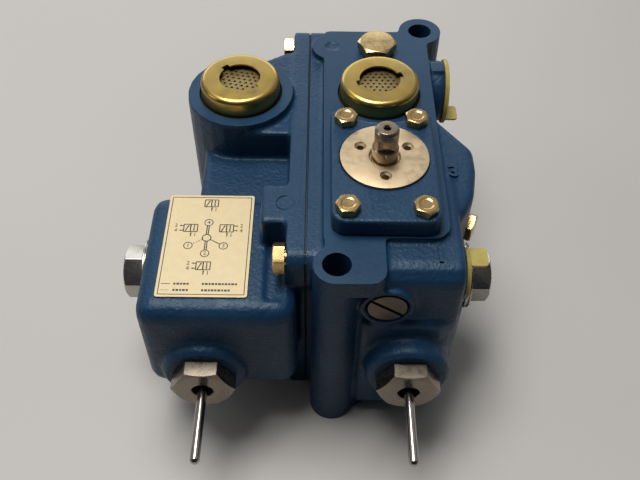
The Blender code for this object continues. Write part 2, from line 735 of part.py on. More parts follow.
def rotor_disc():
    """The distributor disc the shaft turns, with one transfer groove under it."""
    bore = SHAFT_RADIUS + RUNNING_GAP
    profile = [(bore, 93), (ROTOR_RADIUS, 93), (ROTOR_RADIUS, 98), (10.5, 98), (10.5, 101), (bore, 101)]
    x, y = SHAFT
    cuts = [
        cylinder("X", (0, y, DRIVE_PIN_Z), DRIVE_PIN_RADIUS + RUNNING_GAP, x - 30, x + 30, SMALL_SIDES),
        cylinder("Z", (x, y - 12, 0), 3, 90, 95, SMALL_SIDES),
        cylinder("Z", (x - 4, y - 11.3, 0), 3, 90, 95, SMALL_SIDES),
        cylinder("Z", (x + 4, y - 11.3, 0), 3, 90, 95, SMALL_SIDES),
    ]
    body = lathe("Z", (x, y, 0), profile, ROUND_SIDES, ring=True)
    return piece("rotor_disc", "bronze", body, cuts=cuts)


def drive_pin():
    centre = (0, SHAFT[1], DRIVE_PIN_Z)
    body = cylinder("X", centre, DRIVE_PIN_RADIUS, SHAFT[0] - 15, SHAFT[0] + 15, SMALL_SIDES)
    return piece("drive_pin", "turned_steel", body)


def port_plate():
    """The fixed plate the rotor slides on, with a hole to each valve and a spare third one."""
    x, y = SHAFT
    body = cylinder("Z", (x, y, 0), CHAMBER_RADIUS - GAP, 86, 92.7, ROUND_SIDES)
    cuts = [
        cylinder("Z", (PILOT_X[1], PILOT_Y, 0), PILOT_RADIUS, 80, 100, SMALL_SIDES),
        cylinder("Z", (PILOT_X[0], PILOT_Y, 0), PILOT_RADIUS, 80, 100, SMALL_SIDES),
        cylinder("Z", (x, y + 12, 0), PILOT_RADIUS, 80, 100, SMALL_SIDES),
    ]
    return piece("port_plate", "turned_steel", body, cuts=cuts)


def thrust_washer():
    bore = SHAFT_RADIUS + 0.2
    profile = [(bore, 102), (9.6, 102), (9.6, 105.6), (bore, 105.6)]
    return piece("thrust_washer", "bronze", lathe("Z", (*SHAFT, 0), profile, ring=True))


def shaft_seal():
    body = torus("Z", (*SHAFT, 0), SHAFT_RADIUS + 1.1, 0.95, 115)
    return piece("shaft_seal", "black_rubber", body)


# ---- breathers ----


def breather_cup(side, name):
    """A pressed cup with a rounded shoulder, a rolled foot and a window with two notches."""
    top = BREATHER_TOP_Z
    foot = CUP_RADIUS + 0.2
    outer = [(foot, CUP_SEAT_Z + GAP), (foot, CUP_SEAT_Z + 1.6), (20.5, CUP_SEAT_Z + 3)]
    inner_wall = 20.2 - CUP_SHEET
    shoulder = 2.8
    for step in range(5):
        angle = math.pi / 2 * step / 4
        outer.append(
            (
                CUP_FLAT_RADIUS + (20.2 - CUP_FLAT_RADIUS) * math.cos(angle),
                top - shoulder * (1 - math.sin(angle)),
            )
        )
    inner = [(9.0, top), (9.0, top - CUP_SHEET), (CUP_FLAT_RADIUS - 0.6, top - CUP_SHEET)]
    inner += [(inner_wall, top - CUP_SHEET - 2), (inner_wall, CUP_SEAT_Z + GAP)]
    centre = (side * BREATHER[0], BREATHER[1], 0)
    body = lathe("Z", centre, outer + inner, FINE_SIDES, ring=True)
    slot_turn = math.radians(-45 if side < 0 else 18)
    slot = block((-12.6, -2.0, top - 3), (12.6, 2.0, top + 3))
    slot.transform(Matrix.Translation(Vector(centre)) @ Matrix.Rotation(slot_turn, 4, "Z"))
    window = cylinder("Z", centre, WINDOW_RADIUS, top - 3, top + 3, ROUND_SIDES)
    return piece(name, "yellow_zinc", body, cuts=[window, slot])


def breather_screen(side, name):
    """A perforated disc; its holes lie on a triangular grid inside the cup's window."""
    centre = Vector((side * BREATHER[0], BREATHER[1], 0))
    level = BREATHER_TOP_Z - CUP_SHEET - 2.4
    disc = cylinder("Z", centre, 18.9, level - 0.7, level, ROUND_SIDES)
    holes = bmesh.new()
    rows = 4
    for row in range(-rows, rows + 1):
        for column in range(-5, 6):
            at = Vector((SCREEN_PITCH * (column + (row % 2) / 2), SCREEN_PITCH * row * math.sqrt(3) / 2, 0))
            if at.length > WINDOW_RADIUS - 0.2:
                continue
            drill = Matrix.Translation(centre + at + Vector((0, 0, level)))
            bmesh.ops.create_cone(
                holes,
                cap_ends=True,
                segments=5,
                radius1=SCREEN_HOLE,
                radius2=SCREEN_HOLE,
                depth=4,
                matrix=drill,
            )
    return piece(name, "bearing_metal", disc, cuts=[holes])


def filter_pad(side, name):
    centre = (side * BREATHER[0], BREATHER[1], 0)
    profile = [(0, 116.4), (18.4, 116.4), (18.9, 117), (18.9, 124.6), (18.4, 125), (0, 125)]
    return piece(name, "filter_felt", lathe("Z", centre, profile))


# ---- poppet valves ----


def guide_nut(side, name):
    """The front nut that guides the push pin: a hexagon, a thread and a recessed bore."""
    axis = (side * PIN_X, 0, PIN_Z)
    bar, cone = hex_head("Y", axis, NUT_FLATS, NUT_FACE_Y, NUT_SEAT_Y - GAP, 0, chamfer_high=False)
    nut = piece(name, "turned_steel", bar, within=cone)
    thread = cylinder("Y", axis, NUT_THREAD, NUT_SEAT_Y - 2, -17, ROUND_SIDES)
    add_shank(nut, thread)
    bores = [
        cylinder("Y", axis, 5.2, NUT_FACE_Y - 3, -31, SMALL_SIDES),
        cylinder("Y", axis, PIN_RADIUS + RUNNING_GAP, -60, -10, SMALL_SIDES),
        cylinder("Y", axis, 4.5, -22, -10, ROUND_SIDES),
    ]
    for bore in bores:
        bore.transform(TO_ROW)
        combine(nut, bore, "DIFFERENCE")
    nut.data.name = name
    nut.data.shade_smooth()
    nut.data.set_sharp_from_angle(angle=SHARP_ANGLE)
    return nut


def push_pin(side, name):
    """The long pin: a domed tip in front, its tail in the poppet."""
    dome = 1.6
    profile = [(0, PIN_TIP_Y)]
    for step in range(1, 4):
        angle = math.pi / 2 * step / 3
        profile.append((PIN_RADIUS * math.sin(angle), PIN_TIP_Y + dome * (1 - math.cos(angle))))
    profile += [(PIN_RADIUS, POPPET_FRONT_Y + 5), (0, POPPET_FRONT_Y + 5)]
    return piece(name, "bright_steel", lathe("Y", (side * PIN_X, 0, PIN_Z), profile, SMALL_SIDES))


def pin_seal(side, name):
    body = torus("Y", (side * PIN_X, 0, PIN_Z), PIN_RADIUS + 1.0, 0.85, -19.5)
    return piece(name, "black_rubber", body)


def seat_bush(side, name):
    """The fixed seat ring the poppet closes against."""
    outer = VALVE_BORE - GAP
    profile = [(6, -6), (outer, -6), (outer, POPPET_FRONT_Y - GAP - 1.5), (7.4, POPPET_FRONT_Y - GAP)]
    profile += [(6, POPPET_FRONT_Y - GAP)]
    return piece(name, "bronze", lathe("Y", (side * PIN_X, 0, PIN_Z), profile, ring=True))


def poppet(side, name):
    bore = PIN_RADIUS + RUNNING_GAP
    profile = [
        (0, POPPET_FRONT_Y + 5.3),
        (bore, POPPET_FRONT_Y + 5.3),
        (bore, POPPET_FRONT_Y),
        (8.6, POPPET_FRONT_Y),
        (8.6, POPPET_BACK_Y - 3),
        (4.6, POPPET_BACK_Y - 3),
        (4.6, POPPET_BACK_Y),
        (0, POPPET_BACK_Y),
    ]
    body = lathe("Y", (side * PIN_X, 0, PIN_Z), profile, SMALL_SIDES)
    return piece(name, "black_rubber", body)


def return_spring(side, name):
    """A coil that follows a helix along Y, swept as a tube with closed ends."""
    turns, steps, sides = 5.5, 10, 5
    coil, wire = 6.6, 0.9
    start, end = POPPET_BACK_Y - 3 + wire + GAP, 38.6 - wire
    shape = bmesh.new()
    count = int(turns * steps)
    rings = []
    for index in range(count + 1):
        share = index / count
        angle = 2 * math.pi * turns * share
        radial = Vector((math.cos(angle), 0, math.sin(angle)))
        middle = Vector((side * PIN_X, start + (end - start) * share, PIN_Z)) + radial * coil
        ring = []
        for corner in range(sides):
            spin = 2 * math.pi * corner / sides
            offset = radial * wire * math.cos(spin) + Vector((0, 1, 0)) * wire * math.sin(spin)
            ring.append(shape.verts.new(middle + offset))
        rings.append(ring)
    for near, far in zip(rings, rings[1:]):
        for corner in range(sides):
            follow = (corner + 1) % sides
            shape.faces.new((near[corner], near[follow], far[follow], far[corner]))
    shape.faces.new(rings[0])
    shape.faces.new(rings[-1])
    bmesh.ops.recalc_face_normals(shape, faces=shape.faces)
    return piece(name, "bright_steel", shape)


def spring_cap(side, name):
    body = cylinder("Y", (side * PIN_X, 0, PIN_Z), VALVE_BORE - GAP, 39, 43, ROUND_SIDES)
    hole = cylinder("Y", (side * PIN_X, 0, PIN_Z), 4, 30, 50, SMALL_SIDES)
    return piece(name, "turned_steel", body, cuts=[hole])


# ---- plugs, caps and label ----


def side_plug(side, name):
    """A hexagon plug with a wide collar, along X."""
    seat = SIDE_BOSS_X + 1.8
    bar, cone = hex_head("X", (0, *SIDE_PLUG), SIDE_PLUG_FLATS, seat + 2, SIDE_PLUG_END_X, 10)
    profile = [(0, 70), (8.7, 70), (8.7, seat), (17.3, seat), (17.3, seat + 3), (16.8, seat + 3.4)]
    profile.append((0, seat + 3.4))
    collar = lathe("X", (0, *SIDE_PLUG), profile, ROUND_SIDES)
    if side < 0:
        bar, cone, collar = mirrored(bar), mirrored(cone), mirrored(collar)
    plug = piece(name, "turned_steel", bar, within=cone)
    return add_shank(plug, collar)


def side_plug_ring(side, name):
    low, high = SIDE_BOSS_X + GAP, SIDE_BOSS_X + 1.5
    profile = [(9.2, low), (17.0, low), (17.0, high), (9.2, high)]
    body = lathe("X", (0, *SIDE_PLUG), profile, ring=True)
    return piece(name, "black_rubber", mirrored(body) if side < 0 else body)


def slotted_plug():
    """A flush screw plug in the front face with a driver slot."""
    axis = (SLOTTED_PLUG[0], 0, SLOTTED_PLUG[1])
    front = FRONT_MASS_Y + 0.6
    back = FRONT_MASS_Y + 10
    profile = [(0, front), (8.4, front), (9.0, front + 0.6), (9.0, back), (0, back)]
    slot = block((-12, front - 2, -0.9), (12, front + 2, 0.9))
    slot.transform(Matrix.Translation(Vector(axis)) @ Matrix.Rotation(math.radians(36), 4, "Y"))
    return piece("slotted_plug", "turned_steel", lathe("Y", axis, profile), cuts=[slot])


def angled_plug():
    bar, cone = hex_head("X", (0, 0, 0), ANGLED_PLUG_FLATS, 1.2, 6.0, 20)
    stem = cylinder("X", (0, 0, 0), 5.0, -12, 2, SMALL_SIDES)
    plug = piece("angled_plug", "yellow_zinc", angled(bar), within=angled(cone))
    return add_shank(plug, angled(stem))


def angled_plug_ring():
    profile = [(5.4, -0.1), (8.2, -0.1), (8.2, 0.9), (5.4, 0.9)]
    return piece("angled_plug_ring", "bronze", angled(lathe("X", (0, 0, 0), profile, ring=True)))


def top_plug():
    centre = (*TOP_PLUG, 0)
    bar, cone = hex_head("Z", centre, TOP_PLUG_FLATS, DECK_Z + 1.8, DECK_Z + 6.5, -4)
    plug = piece("top_plug", "bolt_zinc", bar, within=cone)
    return add_shank(plug, cylinder("Z", centre, 6, 107, DECK_Z + 3, SMALL_SIDES))


def top_plug_ring():
    low, high = DECK_Z + GAP, DECK_Z + 1.5
    profile = [(6.4, low), (9.3, low), (9.3, high), (6.4, high)]
    return piece("top_plug_ring", "bronze", lathe("Z", (*TOP_PLUG, 0), profile, ring=True))


def port_cap(name, centre, face_x, bore, flange_radius, tab_offset, tab_length):
    """A hollow plastic port plug: a thin flange, a short sleeve and a pull tab."""
    low = face_x + GAP
    place = (0, *centre)
    profile = [
        (0, low - 1),
        (bore - 2.2, low - 1),
        (bore - 2.2, low - 9),
        (bore - GAP, low - 9),
        (bore - GAP, low),
        (flange_radius, low),
        (flange_radius, low + 1.6),
        (flange_radius - 0.6, low + 2),
        (0, low + 2),
    ]
    tab_y, tab_z = centre[0] + tab_offset[0], centre[1] + tab_offset[1]
    tab_end = low + tab_length
    near, far = tab_y - 5.4, tab_y + 5.4
    tab_outline = rounded_outline(
        ((low + 1, near, 0), (tab_end, near, 2.5), (tab_end, far, 2.5), (low + 1, far, 0))
    )
    tab = prism("Z", tab_outline, tab_z - 0.6, tab_z + 0.6)
    return piece(name, "yellow_plastic", lathe("X", place, profile), joins=[tab])


def label_plate():
    outline = rounded_box_outline(*LABEL, 1.2)
    body = prism("Z", outline, LABEL_FLAT_Z + GAP, LABEL_FLAT_Z + 0.9)
    return piece("label_plate", "label_foil", body)


# ---- assembly ----


def build_valve(side, word):
    """One poppet valve; returns the pieces that its push pin moves."""
    guide_nut(side, f"guide_nut_{word}")
    pin_seal(side, f"pin_seal_{word}")
    seat_bush(side, f"seat_bush_{word}")
    return_spring(side, f"return_spring_{word}")
    spring_cap(side, f"spring_cap_{word}")
    return [push_pin(side, f"push_pin_{word}"), poppet(side, f"poppet_{word}")]


def build():
    clear_scene()
    main_casting()
    side_casting()
    joint_gasket()
    for index, centre in enumerate(CLAMP_CENTRES, 1):
        clamp_bolt(index, centre, 55)
    cover_plate()
    for index, (x, y, turn) in enumerate(COVER_BOLTS, 1):
        cover_bolt(index, x, y, turn)
    bearing_disc()
    port_plate()
    thrust_washer()
    shaft_seal()
    carried_by("shaft_axis", (*SHAFT, DRIVE_PIN_Z), [shaft(), rotor_disc(), drive_pin()])
    for side, word in ((-1, "left"), (1, "right")):
        moving = build_valve(side, word)
        carried_by(f"pin_axis_{word}", (side * PIN_X, PIN_TIP_Y, PIN_Z), moving)
        breather_cup(side, f"breather_cup_{word}")
        breather_screen(side, f"breather_screen_{word}")
        filter_pad(side, f"filter_pad_{word}")
        side_plug(side, f"side_plug_{word}")
        side_plug_ring(side, f"side_plug_ring_{word}")
    slotted_plug()
    angled_plug()
    angled_plug_ring()
    top_plug()
    top_plug_ring()
    port_cap("port_cap_1", PORT_1, PORT_1_FACE_X, PORT_1_BORE, PORT_1_CAP, (2.6, 9.0), 11.0)
    port_cap("port_cap_3", PORT_3, PORT_3_FACE_X, PORT_3_BORE, PORT_3_CAP, (-10.5, -7.0), 8.6)
    label_plate()


build()
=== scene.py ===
"""Looks for the rotary shaft directional valve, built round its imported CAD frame.

Shapes are worked out in millimetres in the frame's axes and scaled to metres when they become objects.
The two castings and the cover start from the CAD solids: they are re-skinned with small fillets, as a
foundry leaves them, and their machined faces are then cut flat again. Most turned, pressed and moulded
pieces are built again at their CAD places with finer profiles. The other pieces keep their CAD shapes,
apart from the gasket, which is widened to fill its joint.
"""

import json
import math

import bmesh
import bpy
from mathutils import Matrix, Vector


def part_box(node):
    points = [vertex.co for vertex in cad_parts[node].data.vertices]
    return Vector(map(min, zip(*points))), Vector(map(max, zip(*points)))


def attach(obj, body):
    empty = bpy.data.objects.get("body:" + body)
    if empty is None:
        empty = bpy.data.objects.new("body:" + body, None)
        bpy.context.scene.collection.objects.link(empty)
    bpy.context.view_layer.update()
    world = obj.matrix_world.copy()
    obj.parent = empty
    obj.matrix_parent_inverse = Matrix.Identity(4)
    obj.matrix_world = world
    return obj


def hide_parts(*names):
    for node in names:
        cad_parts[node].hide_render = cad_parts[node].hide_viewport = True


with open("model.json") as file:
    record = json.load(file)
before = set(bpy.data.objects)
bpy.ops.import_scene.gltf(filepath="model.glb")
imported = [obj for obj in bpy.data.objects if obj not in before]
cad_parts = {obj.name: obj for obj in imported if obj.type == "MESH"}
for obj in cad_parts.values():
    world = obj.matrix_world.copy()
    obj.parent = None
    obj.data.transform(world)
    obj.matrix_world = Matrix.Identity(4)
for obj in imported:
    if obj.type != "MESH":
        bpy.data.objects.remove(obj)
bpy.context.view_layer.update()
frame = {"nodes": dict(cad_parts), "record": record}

MM = 0.001
GAP = 0.3  # clearance that the CAD leaves between touching pieces
FINE = 128  # sides of a round piece
MEDIUM = 64
SMALL = 48
DRILL_SIDES = 14
MERGE = 1e-3  # vertices of a CAD mesh closer than this are one
LATHE_MERGE = 1e-4
SHARP_ANGLE = math.radians(28)
NEARLY_STRAIGHT = math.radians(84)  # half the angle at a corner too flat to round
EDGE_SHARE = 0.45  # most of an edge that one rounded corner may take

COVER_BOLT_FLATS = 10.0
CLAMP_BOLT_FLATS = 13.0
TOP_PLUG_FLATS = 19.0
SIDE_PLUG_FLATS = 24.0
GUIDE_NUT_FLATS = 27.0

AXIS_TURN = {
    "X": Matrix.Rotation(math.radians(90), 4, "Y"),
    "Y": Matrix.Rotation(math.radians(-90), 4, "X"),
    "Z": Matrix.Identity(4),
}
STATIC = "valve_body"


# ---- places, from the frame ----


def extent(node):
    """Lowest and highest corner of a CAD node, in millimetres."""
    low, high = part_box(node)
    return low / MM, high / MM


def middle(node):
    low, high = extent(node)
    return (low + high) / 2


DECK = extent("main_casting")[1].z
SHAFT = middle("shaft")


# ---- shapes ----


def mm_copy(node):
    """A CAD node's mesh as a closed shape in millimetres."""
    shape = bmesh.new()
    shape.from_mesh(frame["nodes"][node].data)
    shape.transform(Matrix.Scale(1 / MM, 4))
    bmesh.ops.remove_doubles(shape, verts=shape.verts, dist=MERGE)
    return shape


def eased(points, radius, steps=3, closed=False):
    """Rounds the corners of a profile of (x, y) points with short arcs."""
    out = []
    count = len(points)
    for index, point in enumerate(points):
        here = Vector(point)
        if not closed and index in (0, count - 1):
            out.append(tuple(here))
            continue
        back = Vector(points[index - 1]) - here
        ahead = Vector(points[(index + 1) % count]) - here
        half = back.angle(ahead) / 2
        if half > NEARLY_STRAIGHT:
            out.append(tuple(here))
            continue
        reach = min(radius / math.tan(half), back.length * EDGE_SHARE, ahead.length * EDGE_SHARE)
        start = here + back.normalized() * reach
        end = here + ahead.normalized() * reach
        for step in range(steps + 1):
            share = step / steps
            first = start.lerp(here, share)
            second = here.lerp(end, share)
            out.append(tuple(first.lerp(second, share)))
    return out


def lathe(profile, axis="Z", centre=(0, 0, 0), sides=FINE, ring=False):
    """Turns a profile of (radius, distance along the axis) about an axis through centre."""
    shape = bmesh.new()
    verts = [shape.verts.new((radius, 0, along)) for radius, along in profile]
    edges = [shape.edges.new(pair) for pair in zip(verts, verts[1:])]
    if ring:
        edges.append(shape.edges.new((verts[-1], verts[0])))
    bmesh.ops.spin(
        shape,
        geom=verts + edges,
        cent=(0, 0, 0),
        axis=(0, 0, 1),
        angle=2 * math.pi,
        steps=sides,
        use_merge=True,
    )
    bmesh.ops.remove_doubles(shape, verts=shape.verts, dist=LATHE_MERGE)
    bmesh.ops.recalc_face_normals(shape, faces=shape.faces)
    place = Vector(centre)
    place["XYZ".index(axis)] = 0
    shape.transform(Matrix.Translation(place) @ AXIS_TURN[axis])
    return shape


def cylinder(axis, centre, radius, low, high, sides=SMALL):
    return lathe([(0, low), (radius, low), (radius, high), (0, high)], axis, centre, sides)


def prism(outline, low, high, axis="Z", centre=(0, 0, 0), turn=0.0):
    """An outline of (x, y) points raised from low to high, turned in degrees about its own axis."""
    shape = bmesh.new()
    base = shape.faces.new([shape.verts.new((x, y, low)) for x, y in outline])
    raised = bmesh.ops.extrude_face_region(shape, geom=[base])["geom"]
    tops = [item for item in raised if isinstance(item, bmesh.types.BMVert)]
    bmesh.ops.translate(shape, verts=tops, vec=(0, 0, high - low))
    bmesh.ops.recalc_face_normals(shape, faces=shape.faces)
    place = Vector(centre)
    place["XYZ".index(axis)] = 0
    spin = Matrix.Rotation(math.radians(turn), 4, "Z")
    shape.transform(Matrix.Translation(place) @ AXIS_TURN[axis] @ spin)
    return shape


def block(low, high):
    outline = [(low[0], low[1]), (high[0], low[1]), (high[0], high[1]), (low[0], high[1])]
    return prism(outline, low[2], high[2])


def hexagon(flats, low, high, axis, centre, turn, chamfer, chamfer_high=True, ease=0.12):
    """A hexagonal bar whose corners are turned off at its high end, or else at its low end."""
    corner = flats / math.sqrt(3)
    angles = [math.radians(60 * k) for k in range(6)]
    points = [(corner * math.cos(angle), corner * math.sin(angle)) for angle in angles]
    bar = prism(eased(points, ease * 4, closed=True), low, high, axis, centre, turn)
    inner = flats / 2 * 0.965
    slope = corner + 0.8
    profile = [(0, low), (slope, low), (slope, high), (0, high)]
    if chamfer_high:
        profile[2:] = [(slope, high - (slope - inner) * chamfer), (inner, high), (0, high)]
    else:
        profile[:2] = [(0, low), (inner, low), (slope, low + (slope - inner) * chamfer)]
    turned = lathe(eased(profile, ease), axis, centre)
    return combined(bar, turned, "INTERSECT")


def rounded_box(low_x, low_y, high_x, high_y, radius, steps=6):
    points = [(low_x, low_y), (high_x, low_y), (high_x, high_y), (low_x, high_y)]
    return eased(points, radius, steps, closed=True)


def joined(*shapes):
    """Several shapes as one mesh, without merging their surfaces."""
    first = shapes[0]
    for other in shapes[1:]:
        mesh = bpy.data.meshes.new("part")
        other.to_mesh(mesh)
        other.free()
        first.from_mesh(mesh)
        bpy.data.meshes.remove(mesh)
    return first


def helper_object(shape):
    mesh = bpy.data.meshes.new("helper")
    shape.to_mesh(mesh)
    shape.free()
    made = bpy.data.objects.new("helper", mesh)
    bpy.context.scene.collection.objects.link(made)
    return made


def evaluated(made):
    """The object's mesh with its modifiers applied, as a bmesh; the object is removed."""
    graph = bpy.context.evaluated_depsgraph_get()
    mesh = bpy.data.meshes.new_from_object(made.evaluated_get(graph))
    shape = bmesh.new()
    shape.from_mesh(mesh)
    bpy.data.meshes.remove(mesh)
    bpy.data.objects.remove(made)
    return shape


def combined(shape, tool, operation="DIFFERENCE", solver="MANIFOLD"):
    body = helper_object(shape)
    cutter = helper_object(tool)
    modifier = body.modifiers.new("combine", "BOOLEAN")
    modifier.operation = operation
    modifier.solver = solver
    modifier.object = cutter
    result = evaluated(body)
    bpy.data.objects.remove(cutter)
    return result


def reskinned(shape, voxel, smoothing, keep=1.0):
    """One skin over everything in shape, smoothed so that inner and outer corners get small radii."""
    body = helper_object(shape)
    body.data.remesh_voxel_size = voxel
    remesh = body.modifiers.new("skin", "REMESH")
    remesh.mode = "VOXEL"
    remesh.voxel_size = voxel
    smooth = body.modifiers.new("smooth", "SMOOTH")
    smooth.factor = 0.5
    smooth.iterations = smoothing
    if keep < 1:
        thin = body.modifiers.new("thin", "DECIMATE")
        thin.ratio = keep
    return evaluated(body)


def finish_piece(name, shape, material, body=STATIC, stands_for=(), angle=SHARP_ANGLE):
    """Makes a shape in millimetres into a shown piece that rides on a CAD body."""
    shape.transform(Matrix.Scale(MM, 4))
    mesh = bpy.data.meshes.new(name)
    shape.to_mesh(mesh)
    shape.free()
    mesh.shade_smooth()
    mesh.set_sharp_from_angle(angle=angle)
    mesh.materials.append(material)
    made = bpy.data.objects.new(name, mesh)
    bpy.context.scene.collection.objects.link(made)
    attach(made, body)
    if stands_for:
        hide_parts(*stands_for)
    return made


# ---- materials ----


class Nodes:
    """A material being made, with short calls for the nodes used here."""

    def __init__(self, name):
        self.material = bpy.data.materials.new(name)
        self.material.use_nodes = True
        self.tree = self.material.node_tree
        self.shader = self.tree.nodes["Principled BSDF"]

    def add(self, kind, **settings):
        node = self.tree.nodes.new(kind)
        for key, value in settings.items():
            if key in node.inputs:
                node.inputs[key].default_value = value
            else:
                setattr(node, key, value)
        return node

    def link(self, source, target):
        self.tree.links.new(source, target)

    def place(self):
        return self.add("ShaderNodeTexCoord").outputs["Object"]

    def noise(self, scale, detail=3.0, roughness=0.5, stretch=(1, 1, 1)):
        mapping = self.add("ShaderNodeMapping")
        mapping.inputs["Scale"].default_value = stretch
        self.link(self.place(), mapping.inputs["Vector"])
        texture = self.add("ShaderNodeTexNoise")
        texture.inputs["Scale"].default_value = scale
        texture.inputs["Detail"].default_value = detail
        texture.inputs["Roughness"].default_value = roughness
        self.link(mapping.outputs["Vector"], texture.inputs["Vector"])
        return texture.outputs["Fac"]

    def ranged(self, value, low, high, new_low, new_high):
        node = self.add("ShaderNodeMapRange", clamp=True)
        self.link(value, node.inputs["Value"])
        for key, number in (("From Min", low), ("From Max", high), ("To Min", new_low), ("To Max", new_high)):
            node.inputs[key].default_value = number
        return node.outputs["Result"]

    def math(self, operation, first, second):
        node = self.add("ShaderNodeMath", operation=operation)
        for index, item in enumerate((first, second)):
            if isinstance(item, (int, float)):
                node.inputs[index].default_value = item
            else:
                self.link(item, node.inputs[index])
        return node.outputs["Value"]

    def mix(self, share, first, second):
        """Mixes two colours; share is a socket or a number."""
        node = self.add("ShaderNodeMix", data_type="RGBA")
        for index, item in ((0, share), (6, first), (7, second)):
            if hasattr(item, "links"):
                self.link(item, node.inputs[index])
            elif index == 0:
                node.inputs[0].default_value = item
            else:
                node.inputs[index].default_value = (*item, 1.0)
        return node.outputs[2]

    def bump(self, height, distance, strength=1.0, normal=None):
        node = self.add("ShaderNodeBump")
        node.inputs["Distance"].default_value = distance * MM
        self.link(height, node.inputs["Height"])
        if isinstance(strength, (int, float)):
            node.inputs["Strength"].default_value = strength
        else:
            self.link(strength, node.inputs["Strength"])
        if normal:
            self.link(normal, node.inputs["Normal"])
        return node.outputs["Normal"]

    def rounded(self, radius):
        node = self.add("ShaderNodeBevel", samples=4)
        node.inputs["Radius"].default_value = radius * MM
        return node.outputs["Normal"]

    def set(self, **values):
        for key, value in values.items():
            target = self.shader.inputs[key.replace("_", " ")]
            if hasattr(value, "links"):
                self.link(value, target)
            else:
                target.default_value = value if isinstance(value, (int, float)) else (*value, 1.0)
        return self.material


def blue_paint():
    """Satin blue paint over a pebbly casting, smoother on the machined deck."""
    n = Nodes("blue_paint_look")
    geometry = n.add("ShaderNodeNewGeometry")
    split_normal = n.add("ShaderNodeSeparateXYZ")
    n.link(geometry.outputs["True Normal"], split_normal.inputs[0])
    split_place = n.add("ShaderNodeSeparateXYZ")
    n.link(n.place(), split_place.inputs[0])
    level = n.ranged(split_place.outputs["Z"], (DECK - 0.25) * MM, (DECK - 0.05) * MM, 0, 1)
    below = n.ranged(split_place.outputs["Z"], (DECK + 0.1) * MM, (DECK + 0.3) * MM, 1, 0)
    flat = n.ranged(split_normal.outputs["Z"], 0.995, 0.999, 0, 1)
    machined = n.math("MULTIPLY", n.math("MULTIPLY", level, below), flat)
    rough = n.math("SUBTRACT", 1.0, n.math("MULTIPLY", machined, 0.8))
    pebbles = n.noise(560, 3, 0.5)
    waves = n.noise(150, 2, 0.5)
    height = n.math("ADD", pebbles, n.math("MULTIPLY", waves, 0.5))
    normal = n.bump(height, 0.34, rough, n.rounded(0.5))
    patches = n.ranged(n.noise(28, 3), 0.35, 0.65, 0, 1)
    colour = n.mix(patches, (0.0060, 0.0290, 0.070), (0.0085, 0.0360, 0.082))
    specks = n.ranged(n.noise(1400, 1, 0.4), 0.68, 0.74, 0, 0.25)
    colour = n.mix(specks, colour, (0.05, 0.085, 0.13))
    gloss = n.ranged(n.noise(210, 3), 0.3, 0.7, 0.36, 0.46)
    return n.set(
        Base_Color=colour,
        Roughness=gloss,
        Normal=normal,
        Specular_IOR_Level=0.27,
        Specular_Tint=(0.80, 0.94, 1.0),
    )


def metal(name, colour, second, roughness, grain_scale, stretch=(1, 1, 1), bump=0.03):
    """A bare or plated metal with uneven colour and fine tool marks."""
    n = Nodes(name)
    blotches = n.ranged(n.noise(90, 2, 0.5), 0.25, 0.75, 0, 1)
    mixed = n.mix(blotches, colour, second)
    grain = n.noise(grain_scale, 2, 0.5, stretch)
    gloss = n.ranged(grain, 0.2, 0.8, roughness * 0.88, roughness * 1.2)
    return n.set(Base_Color=mixed, Metallic=1.0, Roughness=gloss, Normal=n.bump(grain, bump))


def turned(name, colour, second, roughness, axis, centre, pitch=0.35, depth=0.02):
    """A lathe-turned face: fine rings about an axis through centre."""
    n = Nodes(name)
    shift = n.add("ShaderNodeMapping")
    place = Vector(centre) * MM
    place["XYZ".index(axis)] = 0
    shift.inputs["Location"].default_value = -place
    n.link(n.place(), shift.inputs["Vector"])
    split = n.add("ShaderNodeSeparateXYZ")
    n.link(shift.outputs["Vector"], split.inputs[0])
    first, second_axis = [split.outputs[k] for k in "XYZ" if k != axis]
    square = n.math("ADD", n.math("MULTIPLY", first, first), n.math("MULTIPLY", second_axis, second_axis))
    radius = n.math("SQRT", square, 0)
    rings = n.math("SINE", n.math("MULTIPLY", radius, 2 * math.pi / (pitch * MM)), 0)
    grain = n.noise(300, 3)
    height = n.math("ADD", rings, grain)
    blotches = n.ranged(n.noise(90, 3, 0.6), 0.35, 0.65, 0, 1)
    gloss = n.ranged(grain, 0.3, 0.7, roughness * 0.8, roughness * 1.2)
    mixed = n.mix(blotches, colour, second)
    return n.set(Base_Color=mixed, Metallic=1.0, Roughness=gloss, Normal=n.bump(height, depth))


def plain(name, colour, roughness, scale=400, bump=0.05, variety=0.2, **extra):
    n = Nodes(name)
    grain = n.noise(scale, 3)
    darker = tuple(c * (1 - variety) for c in colour)
    mixed = n.mix(n.ranged(grain, 0.35, 0.65, 0, 1), darker, colour)
    return n.set(Base_Color=mixed, Roughness=roughness, Normal=n.bump(grain, bump), **extra)


PAINT = blue_paint()
CUP_GOLD = metal("cup_gold_look", (0.52, 0.35, 0.085), (0.42, 0.31, 0.11), 0.30, 160, bump=0.006)
BOLT_GOLD = metal("bolt_gold_look", (0.60, 0.41, 0.17), (0.46, 0.32, 0.15), 0.25, 400, bump=0.005)
SHAFT_STEEL = metal("shaft_steel_look", (0.50, 0.41, 0.31), (0.36, 0.29, 0.22), 0.24, 1400, (1, 1, 8), 0.004)
PIN_STEEL = metal("pin_steel_look", (0.50, 0.46, 0.42), (0.40, 0.37, 0.34), 0.17, 1500, (8, 1, 8), 0.006)
PLUG_STEEL = metal("plug_steel_look", (0.44, 0.41, 0.37), (0.36, 0.33, 0.30), 0.28, 900, (1, 1.4, 0.06), 0.0)
NUT_STEEL = metal("nut_steel_look", (0.25, 0.21, 0.165), (0.20, 0.17, 0.135), 0.27, 300, bump=0.0)
DULL_STEEL = metal("dull_steel_look", (0.18, 0.15, 0.12), (0.10, 0.085, 0.07), 0.45, 700, bump=0.04)
